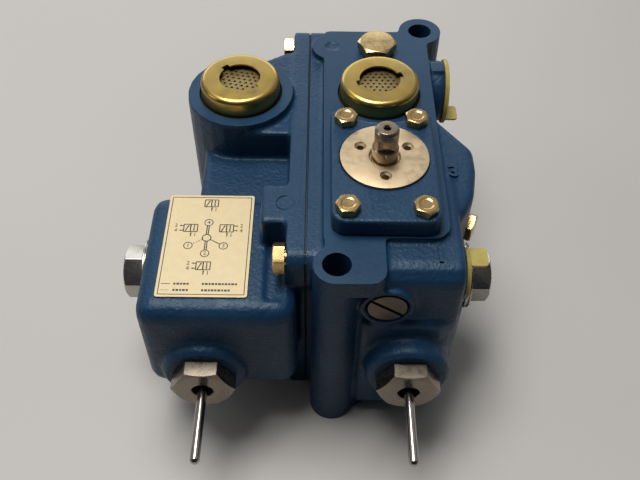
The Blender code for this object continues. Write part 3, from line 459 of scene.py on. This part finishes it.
BRONZE = metal("bronze_look", (0.40, 0.24, 0.10), (0.30, 0.19, 0.09), 0.35, 700)
SCREEN_METAL = metal("screen_look", (0.34, 0.25, 0.11), (0.24, 0.18, 0.09), 0.40, 500, bump=0.02)
DISC_METAL = turned("disc_look", (0.54, 0.42, 0.27), (0.46, 0.355, 0.225), 0.44, "Z", SHAFT, 0.5, 0.012)
TOP_PLUG_METAL = turned(
    "top_plug_look", (0.56, 0.40, 0.19), (0.46, 0.33, 0.16), 0.28, "Z", middle("top_plug"), 0.9, 0.015
)
RUBBER = plain("rubber_look", (0.012, 0.012, 0.014), 0.6, 700, 0.05)
GASKET = plain("gasket_look", (0.008, 0.016, 0.028), 0.7, 900, 0.05)
FELT = plain("felt_look", (0.16, 0.11, 0.05), 0.95, 1500, 0.3)
LABEL_PAPER = plain("label_paper_look", (0.66, 0.53, 0.31), 0.40, 260, 0.004, variety=0.05)
LABEL_INK = plain("label_ink_look", (0.012, 0.010, 0.008), 0.5, 300, 0.01)
CAP_PLASTIC = plain(
    "cap_plastic_look", (0.56, 0.42, 0.10), 0.36, 200, 0.02, Transmission_Weight=0.2, Subsurface_Weight=0.2
)


# ---- castings ----


def raised_faces(shape, axis, sign, level, rise):
    """Prisms on the flat faces of shape in one machined plane, so the plane can be cut crisp later."""
    index = "XYZ".index(axis)
    sheet = shape.copy()
    others = [
        face
        for face in sheet.faces
        if face.normal[index] * sign < 0.99 or abs(face.calc_center_median()[index] - level) > 0.05
    ]
    bmesh.ops.delete(sheet, geom=others, context="FACES")
    for vert in sheet.verts:
        vert.co[index] = level - sign
    raised = bmesh.ops.extrude_face_region(sheet, geom=sheet.faces[:])["geom"]
    step = Vector((0, 0, 0))
    step[index] = sign * (1 + rise)
    tops = [item for item in raised if isinstance(item, bmesh.types.BMVert)]
    bmesh.ops.translate(sheet, verts=tops, vec=step)
    bmesh.ops.recalc_face_normals(sheet, faces=sheet.faces)
    return sheet


def cast_skin(node, planes, cutters, fillers=()):
    """A casting's CAD solid with small radii everywhere except at its machined planes."""
    shape = mm_copy(node)
    bmesh.ops.recalc_face_normals(shape, faces=shape.faces)
    rises = [raised_faces(shape, axis, sign, level, PLANE_RISE) for axis, sign, level in planes]
    shape = reskinned(joined(shape, *rises, *fillers), CAST_VOXEL, CAST_SMOOTHING, CAST_KEEP)
    for cutter in cutters:
        shape = combined(shape, cutter)
    return shape


def beyond(axis, sign, level):
    """A block of everything past a plane."""
    low, high = [-FAR] * 3, [FAR] * 3
    index = "XYZ".index(axis)
    if sign > 0:
        low[index] = level
    else:
        high[index] = level
    return block(low, high)


def port_axis(node, flange):
    """Middle of a port's machined face, from its cap: the sleeve reaches in and the flange lies on it."""
    low, high = extent(node)
    return Vector((low.x + CAP_SLEEVE, high.y - flange, high.z - flange))


FAR = 400
PLANE_RISE = 3  # how far a machined plane is built up before it is cut back
CAST_VOXEL = 1.0
CAST_SMOOTHING = 5
CAST_KEEP = 0.55  # share of the skin's triangles kept
COVER_VOXEL = 0.6
COVER_SMOOTHING = 4
COVER_KEEP = 0.6
CAP_SLEEVE = 8.7
CAP_FLANGE_1 = 12.9
CAP_FLANGE_3 = 18.0
SIDE_HIGH = extent("side_casting")[1]
PLUG_FACE = extent("side_plug_ring_right")[0].x - GAP
NUT_SEAT = extent("guide_nut_right")[0].y + 8.3
SIDE_PLUG = middle("side_plug_ring_right")
PORT_1 = port_axis("port_cap_1", CAP_FLANGE_1)
PORT_3 = port_axis("port_cap_3", CAP_FLANGE_3)
CLAMP_HOLE = 4.6  # radius of a rod that fills a clamp bolt hole


def clamp_fillers(low, high):
    """Rods that fill the clamp bolt holes while a casting is re-skinned, so thin walls survive."""
    bolts = [middle(f"clamp_bolt_{index}") for index in range(1, 5)]
    return [cylinder("X", centre, CLAMP_HOLE, low, high) for centre in bolts]


def main_casting():
    """The right casting; its plug and port faces are spot-faced, the other machined faces cut right over."""
    planes = [
        ("Z", 1, DECK),
        ("Z", -1, 0.0),
        ("X", -1, 0.0),
        ("Y", -1, NUT_SEAT),
        ("X", 1, PLUG_FACE),
        ("X", 1, PORT_1.x),
        ("X", 1, PORT_3.x),
    ]
    cutters = [beyond(*plane) for plane in planes[:4]]
    cutters += [
        cylinder("X", SIDE_PLUG, 18.6, PLUG_FACE, PLUG_FACE + 6, FINE),
        cylinder("X", PORT_1, 14.6, PORT_1.x, PORT_1.x + 9, FINE),
        cylinder("X", PORT_3, 17.3, PORT_3.x, PORT_3.x + 6, FINE),
    ]
    return cast_skin("main_casting", planes, cutters, fillers=clamp_fillers(-1, 6))


def side_casting():
    planes = [
        ("Z", 1, SIDE_HIGH.z),
        ("Z", -1, 0.0),
        ("X", 1, SIDE_HIGH.x),
        ("Y", -1, NUT_SEAT),
        ("X", -1, -PLUG_FACE),
    ]
    return cast_skin("side_casting", planes, [beyond(*plane) for plane in planes])


finish_piece("main_casting_cast", main_casting(), PAINT, STATIC, ["main_casting"])
finish_piece("side_casting_cast", side_casting(), PAINT, STATIC, ["side_casting"])


# ---- cover, disc and shaft ----


def cover_plate():
    """The cast cover: the CAD plate with softened edges, its bearing hole cut crisp again."""
    low, high = extent("cover_plate")
    shape = reskinned(mm_copy("cover_plate"), COVER_VOXEL, COVER_SMOOTHING, COVER_KEEP)
    shape = combined(shape, beyond("Z", -1, low.z))
    radius = (extent("bearing_disc")[1].x - SHAFT.x) + 0.25
    return combined(shape, cylinder("Z", SHAFT, radius, low.z - 2, high.z + 2, FINE))


def bearing_disc():
    """Flanged bearing with a sunk ring round the shaft and three countersunk holes."""
    low, high = extent("bearing_disc")
    radius = high.x - SHAFT.x
    bore = BORE_RADIUS + 0.07
    rim = [(bore, low.z), (9.5, low.z), (9.5, DECK + GAP), (radius, DECK + GAP), (radius, high.z)]
    well = [(7.6, high.z), (7.2, high.z - 0.5), (7.2, high.z - 2), (bore, high.z - 2)]
    body = lathe(eased(rim + well, 0.2, closed=True), "Z", SHAFT, ring=True)
    top = high.z
    drill = [(0, top - 8), (1.65, top - 8), (1.65, top - 1.2), (1.95, top - 1.0)]
    drill += [(3.0, top + 0.15), (0, top + 0.15)]
    for angle in DISC_HOLE_ANGLES:
        x = SHAFT.x + DISC_HOLE_CIRCLE * math.cos(math.radians(angle))
        y = SHAFT.y + DISC_HOLE_CIRCLE * math.sin(math.radians(angle))
        body = combined(body, lathe(drill, "Z", (x, y, 0), SMALL))
    return body


def shaft():
    """Round shaft with two flats, a hole in its end and the cross hole of the drive pin."""
    low, high = extent("shaft")
    end = BORE_RADIUS - 0.55
    flat_low = extent("bearing_disc")[1].z + 6.4
    flat_high = high.z - 4.2
    profile = [
        (0, low.z),
        (BORE_RADIUS, low.z),
        (BORE_RADIUS, flat_low - 0.5),
        (end, flat_low),
        (end, high.z - 1.2),
        (end - 1.2, high.z),
        (0, high.z),
    ]
    body = lathe(eased(profile, 0.25), "Z", SHAFT)
    for side in (-1, 1):
        edges = sorted((SHAFT.y + side * FLAT_REACH, SHAFT.y + side * 12))
        flat = block((SHAFT.x - 10, edges[0], flat_low), (SHAFT.x + 10, edges[1], flat_high))
        body = combined(body, flat)
    hole = [(0, high.z - 9), (1.5, high.z - 9), (1.5, high.z - 0.5), (2.1, high.z + 0.1), (0, high.z + 0.1)]
    body = combined(body, lathe(hole, "Z", SHAFT, SMALL))
    pin_hole = cylinder("X", (0, SHAFT.y, DRIVE_PIN_Z), DRIVE_PIN_HOLE, SHAFT.x - 12, SHAFT.x + 12)
    return combined(body, pin_hole)


BORE_RADIUS = 6.2
FLAT_REACH = 4  # from the shaft's axis to each flat
DRIVE_PIN_Z = 97
DRIVE_PIN_HOLE = 1.57
DISC_HOLE_CIRCLE = 13.0
DISC_HOLE_ANGLES = (30, 150, 270)

finish_piece("cover_plate_cast", cover_plate(), PAINT, STATIC, ["cover_plate"])
finish_piece("bearing_disc_turned", bearing_disc(), DISC_METAL, STATIC, ["bearing_disc"])
finish_piece("shaft_turned", shaft(), SHAFT_STEEL, "shaft_body", ["shaft"])


# ---- fasteners and plugs ----


def dished(flats, top, axis, centre, depth):
    """The shallow round recess forged into a bolt head; top is where the head ends."""
    radius = flats * 0.36
    profile = [(0, top - depth), (radius * 0.75, top - depth)]
    profile += [(radius, top + 0.02), (radius, top + 1), (0, top + 1)]
    return lathe(eased(profile, 0.4), axis, centre, SMALL)


def cover_bolt(node, turn):
    """The bolt's head; its shank is out of sight and isn't made."""
    top = extent(node)[1].z
    centre = middle(node)
    seat = extent("cover_plate")[1].z + GAP
    head = hexagon(COVER_BOLT_FLATS, seat, top, "Z", centre, turn, 0.55)
    return combined(head, dished(COVER_BOLT_FLATS, top, "Z", centre, 0.35))


def clamp_bolt(node, turn):
    low, high = extent(node)
    centre = middle(node)
    seat = low.x + 5.3
    head = hexagon(CLAMP_BOLT_FLATS, low.x, seat, "X", centre, turn, 0.55, chamfer_high=False)
    recess = dished(CLAMP_BOLT_FLATS, -low.x, "X", Vector((0, centre.y, -centre.z)), 0.4)
    recess.transform(Matrix.Rotation(math.radians(180), 4, "Y"))
    head = combined(head, recess)
    return joined(head, cylinder("X", centre, 4.0, seat - 0.5, high.x))


def guide_nut(node):
    """Hexagon nut, chamfered in front, with a counterbore round the pin."""
    low, high = extent(node)
    axis = middle(node)
    back = low.y + 8.0
    head = hexagon(GUIDE_NUT_FLATS, low.y, back, "Y", axis, 0, 0.5, chamfer_high=False, ease=0.2)
    bore = [(0, low.y - 1), (6.0, low.y - 1), (5.2, low.y + 0.4), (5.2, low.y + 12), (0, low.y + 12)]
    head = combined(head, lathe(bore, "Y", axis))
    neck = [(2.5, low.y + 6.5), (10.8, low.y + 6.5), (10.8, high.y), (2.5, high.y)]
    return joined(head, lathe(neck, "Y", axis, ring=True))


def side_plug(side):
    """Plug with a round collar against its ring and a chamfered hexagon outside."""
    low, high = extent("side_plug_right")
    axis = middle("side_plug_right")
    seat = PLUG_FACE + 1.8
    head = hexagon(SIDE_PLUG_FLATS, seat + 2, high.x, "X", axis, 10, 0.55, ease=0.2)
    hollow = [(0, high.x - 0.6), (7.5, high.x - 0.6), (8.3, high.x + 0.1), (0, high.x + 0.1)]
    head = combined(head, lathe(eased(hollow, 0.2), "X", axis))
    collar = [(0, low.x), (8.7, low.x), (8.7, seat), (17.3, seat), (17.3, seat + 1.3), (16.5, seat + 1.6)]
    collar += [(16.5, seat + 2.0), (17.0, seat + 2.3), (17.0, seat + 3), (16.2, seat + 3.4), (0, seat + 3.4)]
    plug = joined(head, lathe(eased(collar, 0.2), "X", axis))
    return mirrored(plug) if side < 0 else plug


def mirrored(shape):
    shape.transform(Matrix.Scale(-1, 4, (1, 0, 0)))
    bmesh.ops.reverse_faces(shape, faces=shape.faces)
    return shape


def round_ring(node, axis):
    """A flat sealing ring again, finer and with soft edges, from its CAD box."""
    low, high = extent(node)
    centre = (low + high) / 2
    index = "XYZ".index(axis)
    others = [k for k in range(3) if k != index]
    outer = (high[others[0]] - low[others[0]]) / 2
    inner = outer * 0.6
    profile = [(inner, low[index]), (outer, low[index]), (outer, high[index]), (inner, high[index])]
    return lathe(eased(profile, 0.3, closed=True), axis, centre, ring=True)


def slotted_plug():
    low, high = extent("slotted_plug")
    axis = middle("slotted_plug")
    profile = [(0, low.y), (9.0, low.y), (9.0, high.y), (0, high.y)]
    slot = block((-12, -1, -0.85), (12, 1.6, 0.85))
    place = Vector((axis.x, low.y, axis.z))
    slot.transform(Matrix.Translation(place) @ Matrix.Rotation(math.radians(36), 4, "Y"))
    return combined(lathe(eased(profile, 0.45), "Y", axis), slot)


def top_plug():
    top = extent("top_plug")[1].z
    return hexagon(TOP_PLUG_FLATS, DECK + 1.8, top, "Z", middle("top_plug"), -4, 0.6, ease=0.2)


COVER_BOLT_TURNS = (9, 36, 0, 38)
CLAMP_BOLT_TURN = 55


def add_fasteners():
    for index, turn in enumerate(COVER_BOLT_TURNS, 1):
        node = f"cover_bolt_{index}"
        finish_piece(node + "_head", cover_bolt(node, turn), BOLT_GOLD, STATIC, [node])
    for index in range(1, 5):
        node = f"clamp_bolt_{index}"
        bolt = clamp_bolt(node, CLAMP_BOLT_TURN)
        finish_piece(node + "_forged", bolt, BOLT_GOLD, STATIC, [node])
    for side, word in ((-1, "left"), (1, "right")):
        nut = f"guide_nut_{word}"
        finish_piece(nut + "_turned", guide_nut(nut), NUT_STEEL, STATIC, [nut])
        plug = f"side_plug_{word}"
        finish_piece(plug + "_turned", side_plug(side), PLUG_STEEL, STATIC, [plug])
        ring = f"side_plug_ring_{word}"
        finish_piece(ring + "_soft", round_ring(ring, "X"), RUBBER, STATIC, [ring])
    finish_piece("slotted_plug_turned", slotted_plug(), DULL_STEEL, STATIC, ["slotted_plug"])
    finish_piece("top_plug_turned", top_plug(), TOP_PLUG_METAL, STATIC, ["top_plug"])
    ring = round_ring("top_plug_ring", "Z")
    finish_piece("top_plug_ring_soft", ring, BRONZE, STATIC, ["top_plug_ring"])


add_fasteners()


# ---- push pins ----


def push_pin(node):
    low, high = extent(node)
    radius = (high.x - low.x) / 2
    profile = [(0, low.y), (radius * 0.55, low.y), (radius, low.y + 1.4), (radius, high.y), (0, high.y)]
    return lathe(eased(profile, 0.7), "Y", middle(node), MEDIUM)


for word in ("left", "right"):
    pin = f"push_pin_{word}"
    finish_piece(pin + "_ground", push_pin(pin), PIN_STEEL, f"pin_{word}_body", [pin])


# ---- breathers ----


def breather_cup(node, slot_turn):
    """A pressed cup: flat top with a notched window, rolled shoulder, tapered wall and foot lip."""
    low, high = extent(node)
    centre = middle(node)
    top, under = high.z, high.z - CUP_SHEET
    outer = [(CUP_BORE, top), (CUP_FLAT, top)]
    outer += [
        (CUP_FLAT + CUP_ROLL * math.sin(a), top - CUP_ROLL + CUP_ROLL * math.cos(a)) for a in quarter(8)
    ]
    outer += [(20.5, low.z + 3.6), (20.6, low.z + 2.6), (21.3, low.z + 1.9), (21.4, low.z + 0.9)]
    outer += [(21.2, low.z)]
    inner = [(19.6, low.z), (19.6, under - 2.2), (18.9, under - 0.7), (17.4, under), (CUP_BORE, under)]
    body = lathe(outer + eased(inner, 0.3), "Z", centre, ring=True)
    notches = rounded_box(-NOTCH_REACH, -2.0, NOTCH_REACH, 2.0, 0.7)
    body = combined(body, prism(notches, top - 4, top + 4, "Z", centre, slot_turn))
    return combined(body, cylinder("Z", centre, WINDOW, top - 4, top + 4, FINE))


def quarter(steps):
    """Angles that step through the first quarter turn, without its start."""
    return [math.pi / 2 * step / steps for step in range(1, steps + 1)]


def breather_screen(node, grid_turn):
    """A thin perforated disc, its holes on a triangular grid."""
    low, high = extent(node)
    centre = middle(node)
    profile = [(0, low.z), (SCREEN_RADIUS, low.z), (SCREEN_RADIUS, high.z), (0, high.z)]
    disc = lathe(eased(profile, 0.15), "Z", centre, MEDIUM)
    drills = []
    for row in range(-4, 5):
        for column in range(-4, 5):
            across = HOLE_PITCH * (column + (row % 2) / 2)
            at = Vector((across, HOLE_PITCH * row * math.sqrt(3) / 2, 0))
            if at.length < HOLES_REACH:
                at.rotate(Matrix.Rotation(math.radians(grid_turn), 3, "Z"))
                drill = cylinder("Z", centre + at, HOLE_RADIUS, low.z - 1, high.z + 1, DRILL_SIDES)
                drills.append(drill)
    return combined(disc, joined(*drills))


CUP_SHEET = 0.9
CUP_BORE = 9.4  # radius of the pressed hole, before the window is cut
CUP_FLAT = 17.6  # radius where the flat top ends
CUP_ROLL = 2.9  # radius of the rolled shoulder
WINDOW = 10.6  # radius of the window
NOTCH_REACH = 12.6  # from the cup's axis to the end of a notch
SCREEN_RADIUS = 18.8
HOLE_PITCH = 3.0
HOLE_RADIUS = 0.72
HOLES_REACH = 10.4  # no hole lies further out than this
BREATHER_TURNS = (("left", -45, -12), ("right", 18, 0))  # side, turn of its notches, turn of its holes


def add_breathers():
    for word, slot_turn, grid_turn in BREATHER_TURNS:
        cup, screen, pad = f"breather_cup_{word}", f"breather_screen_{word}", f"filter_pad_{word}"
        finish_piece(cup + "_pressed", breather_cup(cup, slot_turn), CUP_GOLD, STATIC, [cup])
        shape = breather_screen(screen, grid_turn)
        finish_piece(screen + "_punched", shape, SCREEN_METAL, STATIC, [screen])
        frame["nodes"][pad].data.materials[0] = FELT


add_breathers()


# ---- port caps ----


def port_cap(centre, bore, flange, tab_at, tab_size):
    """A thin moulded cap: shallow dished flange, sleeve in the port, and a pull tab on its rim."""
    low = centre.x + GAP
    profile = [
        (0, low + 0.4),
        (bore - 2.0, low + 0.4),
        (bore - 1.6, low - CAP_SLEEVE),
        (bore - GAP - 0.1, low - CAP_SLEEVE),
        (bore - GAP, low),
        (flange - 0.5, low),
        (flange - 0.1, low + 0.5),
        (flange - 0.7, low + 1.0),
        (flange, low + 1.5),
        (flange - 0.6, low + 2.1),
        (flange - 2.2, low + 1.7),
        (flange - 3.0, low + 1.2),
        (0, low + 1.2),
    ]
    body = lathe(eased(profile, 0.25), "X", centre)
    width, length = tab_size
    outline = [(0.6, -width / 2), (length, -width / 2), (length, width / 2), (0.6, width / 2)]
    outline = eased(outline, 2.2, 5, closed=True)
    tab = prism(outline, -0.6, 0.6)
    tab.transform(Matrix.Translation(Vector((low, centre.y + tab_at[0], centre.z + tab_at[1]))))
    return joined(body, tab)


def add_caps():
    cap_1 = port_cap(PORT_1, 8.6, 12.8, (2.6, 9.0), (10.8, 11.0))
    finish_piece("port_cap_1_moulded", cap_1, CAP_PLASTIC, STATIC, ["port_cap_1"])
    cap_3 = port_cap(PORT_3, 10.5, 17.9, (-10.5, -7.0), (10.8, 8.6))
    finish_piece("port_cap_3_moulded", cap_3, CAP_PLASTIC, STATIC, ["port_cap_3"])


add_caps()


# ---- the pieces shown as the CAD has them ----

CAD_LOOKS = {
    "gasket_fibre": GASKET,
    "turned_steel": NUT_STEEL,
    "bright_steel": PIN_STEEL,
    "black_rubber": RUBBER,
    "bronze": BRONZE,
    "yellow_zinc": BOLT_GOLD,
    "bolt_zinc": BOLT_GOLD,
    "filter_felt": FELT,
    "label_foil": LABEL_PAPER,
    "bearing_metal": SCREEN_METAL,
    "blue_paint": PAINT,
    "yellow_plastic": CAP_PLASTIC,
}


def dress_cad_nodes():
    for part in frame["record"]["subparts"]:
        node = frame["nodes"][part["node"]]
        node.data.materials.clear()
        node.data.materials.append(CAD_LOOKS[part["material_slot"]])


dress_cad_nodes()


def filled_joint():
    """The gasket between the castings, squeezed and painted over so that it fills the joint."""
    low, high = extent("joint_gasket")
    shape = mm_copy("joint_gasket")
    for vert in shape.verts:
        vert.co.x = JOINT_GAP[0] if vert.co.x < (low.x + high.x) / 2 else JOINT_GAP[1]
    return shape


JOINT_GAP = (extent("side_casting")[1].x + 0.05, -0.05)
finish_piece("joint_gasket_painted", filled_joint(), GASKET, STATIC, ["joint_gasket"])


# ---- label print ----


def ring_mark(centre, outer, inner):
    profile = [(inner, 0), (outer, 0), (outer, INK), (inner, INK)]
    return lathe(profile, "Z", (*centre, 0), SMALL, ring=True)


def bar(start, end, width):
    """A printed line between two points."""
    first, last = Vector(start), Vector(end)
    along = (last - first).normalized()
    across = Vector((-along.y, along.x)) * width / 2
    return prism([first - across, last - across, last + across, first + across], 0.0, INK)


def outlined(corners, width):
    """A closed line through corners."""
    return [bar(corner, corners[(k + 1) % len(corners)], width) for k, corner in enumerate(corners)]


def dashes(start, end, width, count):
    first, last = Vector(start), Vector(end)
    return [
        bar(first.lerp(last, step / count), first.lerp(last, (step + 0.6) / count), width)
        for step in range(count)
    ]


def printed_text(text, centre, height, thickness=None, bolder=0.0):
    """Generic lettering as a thin solid, centred on a point."""
    curve = bpy.data.curves.new("text", "FONT")
    curve.body = text
    curve.size = height
    curve.align_x = "CENTER"
    curve.align_y = "CENTER"
    curve.resolution_u = 3
    curve.extrude = (thickness or INK) / 2
    curve.offset = bolder * height
    made = bpy.data.objects.new("text", curve)
    bpy.context.scene.collection.objects.link(made)
    shape = evaluated(made)
    shape.transform(Matrix.Translation((*centre, curve.extrude)))
    return shape


def arrow(start, end, width, head):
    """A line with a filled head at its end."""
    first, last = Vector(start), Vector(end)
    along = (last - first).normalized()
    across = Vector((-along.y, along.x)) * head / 2
    neck = last - along * head
    tip = prism([neck - across, last, neck + across], 0, INK)
    return [bar(first, neck, width), tip]


def valve_symbol(centre, ports_at):
    """A two-square valve symbol with its supply; ports_at is the side of its outputs, or 0 for none."""
    x, y = centre
    marks = []
    for left in (x - 3.3, x):
        corners = [(left, y - 2.3), (left + 3.3, y - 2.3), (left + 3.3, y + 2.3), (left, y + 2.3)]
        marks += outlined(corners, LINE)
    marks += arrow((x - 2.5, y - 2.0), (x - 0.8, y + 2.0), LINE, 1.0)
    marks += arrow((x + 1.65, y + 1.9), (x + 1.65, y - 2.0), LINE, 1.0)
    marks += arrow((x + 0.4, y - 5.2), (x + 0.4, y - 2.5), LINE, 1.1)
    marks.append(printed_text("1", (x + 2.4, y - 4.3), DIGIT_HEIGHT))
    for number, rise in (("2", 1.5), ("4", -1.5)):
        if ports_at:
            near = x + ports_at * 3.5
            far = x + ports_at * 5.6
            marks += arrow((near, y + rise), (far, y + rise), LINE, 1.0)
            marks.append(printed_text(number, (x + ports_at * 7.1, y + rise), DIGIT_HEIGHT))
    return marks


def position_diagram(wide, tall):
    """The hub joined to four numbered positions: 1 by dashes, 3 by a line, 2 and 4 by double lines."""
    hub = Vector((0.488 * wide, 0.557 * tall))
    places = [Vector((-0.20 * wide, -0.078 * tall)), Vector((0.0, -0.153 * tall))]
    places += [Vector((0.20 * wide, -0.078 * tall)), Vector((0.005 * wide, 0.155 * tall))]
    marks = [ring_mark(hub, 2.3, 1.8)]
    for number, reach in enumerate(places, 1):
        stop = hub + reach
        way = reach.normalized()
        marks.append(ring_mark(stop, 2.2, 1.78))
        marks.append(printed_text(str(number), stop, DIGIT_HEIGHT))
        start, end = hub + way * 2.0, stop - way * 1.9
        across = Vector((-way.y, way.x)) * 0.45
        if number == 1:
            marks += dashes(start, end, 0.35, 4)
        elif number == 3:
            marks.append(bar(start, end, 0.45))
        else:
            marks += [bar(start + side, end + side, LINE) for side in (across, -across)]
    return marks


def legend(wide, tall):
    """A full line and a dashed line, each with blocks where its words would be."""
    marks = []
    for row, height in enumerate((0.117 * tall, 0.060 * tall)):
        line = [(0.055 * wide, height), (0.155 * wide, height)]
        marks += dashes(*line, 0.3, 6) if row else [bar(*line, 0.35)]
        marks += greeked(0.19 * wide, 0.39 * wide, height)
        marks += greeked(0.50 * wide, (0.82 if row else 0.90) * wide, height)
    return marks


def label_print():
    """The whole diagram: frame line, hub with four numbered positions, four symbols and a legend."""
    low, high = extent("label_plate")
    wide, tall = high.x - low.x, high.y - low.y
    right, top = wide - LABEL_EDGE, tall - LABEL_EDGE
    marks = outlined([(LABEL_EDGE, LABEL_EDGE), (right, LABEL_EDGE), (right, top), (LABEL_EDGE, top)], 0.4)
    marks += position_diagram(wide, tall)
    for across, along, ports_at in SYMBOLS:
        marks += valve_symbol((across * wide, along * tall), ports_at)
    marks += legend(wide, tall)
    print_shape = joined(*marks)
    print_shape.transform(Matrix.Translation((low.x, low.y, high.z - 0.02)))
    return print_shape


def greeked(start, end, height):
    """Short blocks where words would be."""
    marks = []
    at = start
    widths = (1.0, 1.3, 0.9, 1.2)
    count = 0
    while at + 1.2 < end:
        width = widths[count % len(widths)]
        marks.append(bar((at, height), (at + width, height), 1.1))
        at += width + 0.4
        count += 1
    return marks


INK = 0.05  # thickness of the print
LINE = 0.5
DIGIT_HEIGHT = 3.2
LABEL_EDGE = 1.4
# place across and along the label as shares of its size, and the side of the symbol's outputs
SYMBOLS = ((0.498, 0.915, 0), (0.290, 0.655, -1), (0.705, 0.655, 1), (0.488, 0.285, -1))
finish_piece("label_print", label_print(), LABEL_INK, STATIC)


# ---- raised marks cast into the paintwork ----

DIGIT_RISE = 1.0
ABOVE_ALL = 300
LOWEST_SKIN = 80  # a hit lower than this isn't on top of a casting


def surface_below(x, y):
    """The point of the castings' skin under (x, y), in millimetres."""
    for name in ("main_casting_cast", "side_casting_cast"):
        made = bpy.data.objects[name]
        hit, place, _, _ = made.ray_cast(Vector((x, y, ABOVE_ALL)) * MM, Vector((0, 0, -1)))
        if hit and place.z > LOWEST_SKIN * MM:
            return place / MM
    raise ValueError(f"nothing cast lies under {x}, {y}")


def cast_digit(name, text, x, y, height):
    """A raised digit that follows the skin of the casting under it."""
    shape = printed_text(text, (x, y), height, 1.0, 0.03)
    long_edges = [edge for edge in shape.edges if edge.calc_length() > 0.8]
    bmesh.ops.subdivide_edges(shape, edges=long_edges, cuts=5)
    bmesh.ops.triangulate(shape, faces=shape.faces)
    for vertex in shape.verts:
        skin = surface_below(vertex.co.x, vertex.co.y)
        vertex.co.z = skin.z + (DIGIT_RISE if vertex.co.z > 0.5 else -DIGIT_RISE)
    bmesh.ops.recalc_face_normals(shape, faces=shape.faces)
    finish_piece(name, shape, PAINT, STATIC)


def cast_ring(name, x, y, outer, inner, rise=0.35):
    """A low ring cast into the paintwork, where a foundry mark would be."""
    place = surface_below(x, y)
    profile = [(inner, -0.8), (outer, -0.8), (outer, rise), (inner, rise)]
    shape = lathe(eased(profile, 0.2, closed=True), "Z", (0, 0, 0), MEDIUM, ring=True)
    shape.transform(Matrix.Translation(place))
    finish_piece(name, shape, PAINT, STATIC)


cast_digit("cast_mark_port_1", "1", 59.3, -52.2, 12.0)
cast_digit("cast_mark_port_3", "3", 70.6, 1.0, 11.5)
cast_ring("cast_mark_pad", -10.6, -20.3, 4.6, 3.9)


# ---- floor, light and camera ----


def area_light(name, place, aim, size, power, colour):
    data = bpy.data.lights.new(name, "AREA")
    data.shape = "RECTANGLE"
    data.size, data.size_y = size
    data.energy = power
    data.color = colour
    lamp = bpy.data.objects.new(name, data)
    lamp.location = place
    lamp.rotation_euler = (Vector(aim) - Vector(place)).to_track_quat("-Z", "Y").to_euler()
    bpy.context.scene.collection.objects.link(lamp)


def floor_material():
    n = Nodes("floor_look")
    cloud = n.ranged(n.noise(2.2, 2), 0.3, 0.7, 0, 1)
    colour = n.mix(cloud, (0.40, 0.385, 0.37), (0.44, 0.42, 0.40))
    return n.set(Base_Color=colour, Roughness=0.55)


def soft_sky():
    """A room that is bright overhead and behind the valve and dim in front of it."""
    world = bpy.data.worlds.new("studio")
    bpy.context.scene.world = world
    world.use_nodes = True
    tree = world.node_tree
    split = tree.nodes.new("ShaderNodeSeparateXYZ")
    tree.links.new(tree.nodes.new("ShaderNodeTexCoord").outputs["Generated"], split.inputs[0])
    total = tree.nodes.new("ShaderNodeMath")
    total.operation = "ADD"
    tree.links.new(split.outputs["Y"], total.inputs[0])
    tree.links.new(split.outputs["Z"], total.inputs[1])
    ramp = tree.nodes.new("ShaderNodeValToRGB")
    ramp.color_ramp.elements[0].position = 0.15
    ramp.color_ramp.elements[0].color = (0.020, 0.026, 0.038, 1)
    ramp.color_ramp.elements[1].position = 1.0
    ramp.color_ramp.elements[1].color = (0.42, 0.42, 0.42, 1)
    tree.links.new(total.outputs[0], ramp.inputs["Fac"])
    background = tree.nodes["Background"]
    tree.links.new(ramp.outputs["Color"], background.inputs["Color"])
    background.inputs["Strength"].default_value = 0.8


FLOOR_SIZE = 6
AIM = (0, 0, 0.06)
LIGHTS = (  # name, place, size, power, colour
    ("overhead_light", (-0.25, 0.18, 1.6), (0.9, 0.6), 25, (1.0, 0.99, 0.96)),
    ("window_light", (-0.3, 1.9, 0.75), (2.2, 0.7), 12, (0.95, 1.0, 1.0)),
    ("left_light", (-1.3, -0.1, 0.7), (0.4, 0.5), 1.2, (1.0, 0.94, 0.85)),
)
LENS = 44.11
SENSOR = 36
CAMERA_PLACE = (0.00413, -0.26941, 0.38626)
CAMERA_RIGHT = (0.99992, 0.00567, 0.01127)
CAMERA_UP = (-0.01158, 0.76688, 0.64169)
CAMERA_FORWARD = (0.00501, 0.64177, -0.76688)


def add_stage():
    bpy.ops.mesh.primitive_plane_add(size=FLOOR_SIZE)
    floor = bpy.context.object
    floor.name = "floor"
    floor.data.materials.append(floor_material())
    for name, place, size, power, colour in LIGHTS:
        area_light(name, place, AIM, size, power, colour)
    soft_sky()


def add_camera():
    """The camera stands in front and above, looking down steeply at the deck."""
    data = bpy.data.cameras.new("camera")
    data.lens = LENS
    data.sensor_width = SENSOR
    data.clip_start = 0.01
    camera = bpy.data.objects.new("camera", data)
    turn = Matrix((CAMERA_RIGHT, CAMERA_UP, -Vector(CAMERA_FORWARD))).transposed().to_4x4()
    camera.matrix_world = Matrix.Translation(CAMERA_PLACE) @ turn
    bpy.context.scene.collection.objects.link(camera)
    bpy.context.scene.camera = camera


add_stage()
add_camera()
bpy.context.scene.view_settings.view_transform = "Standard"
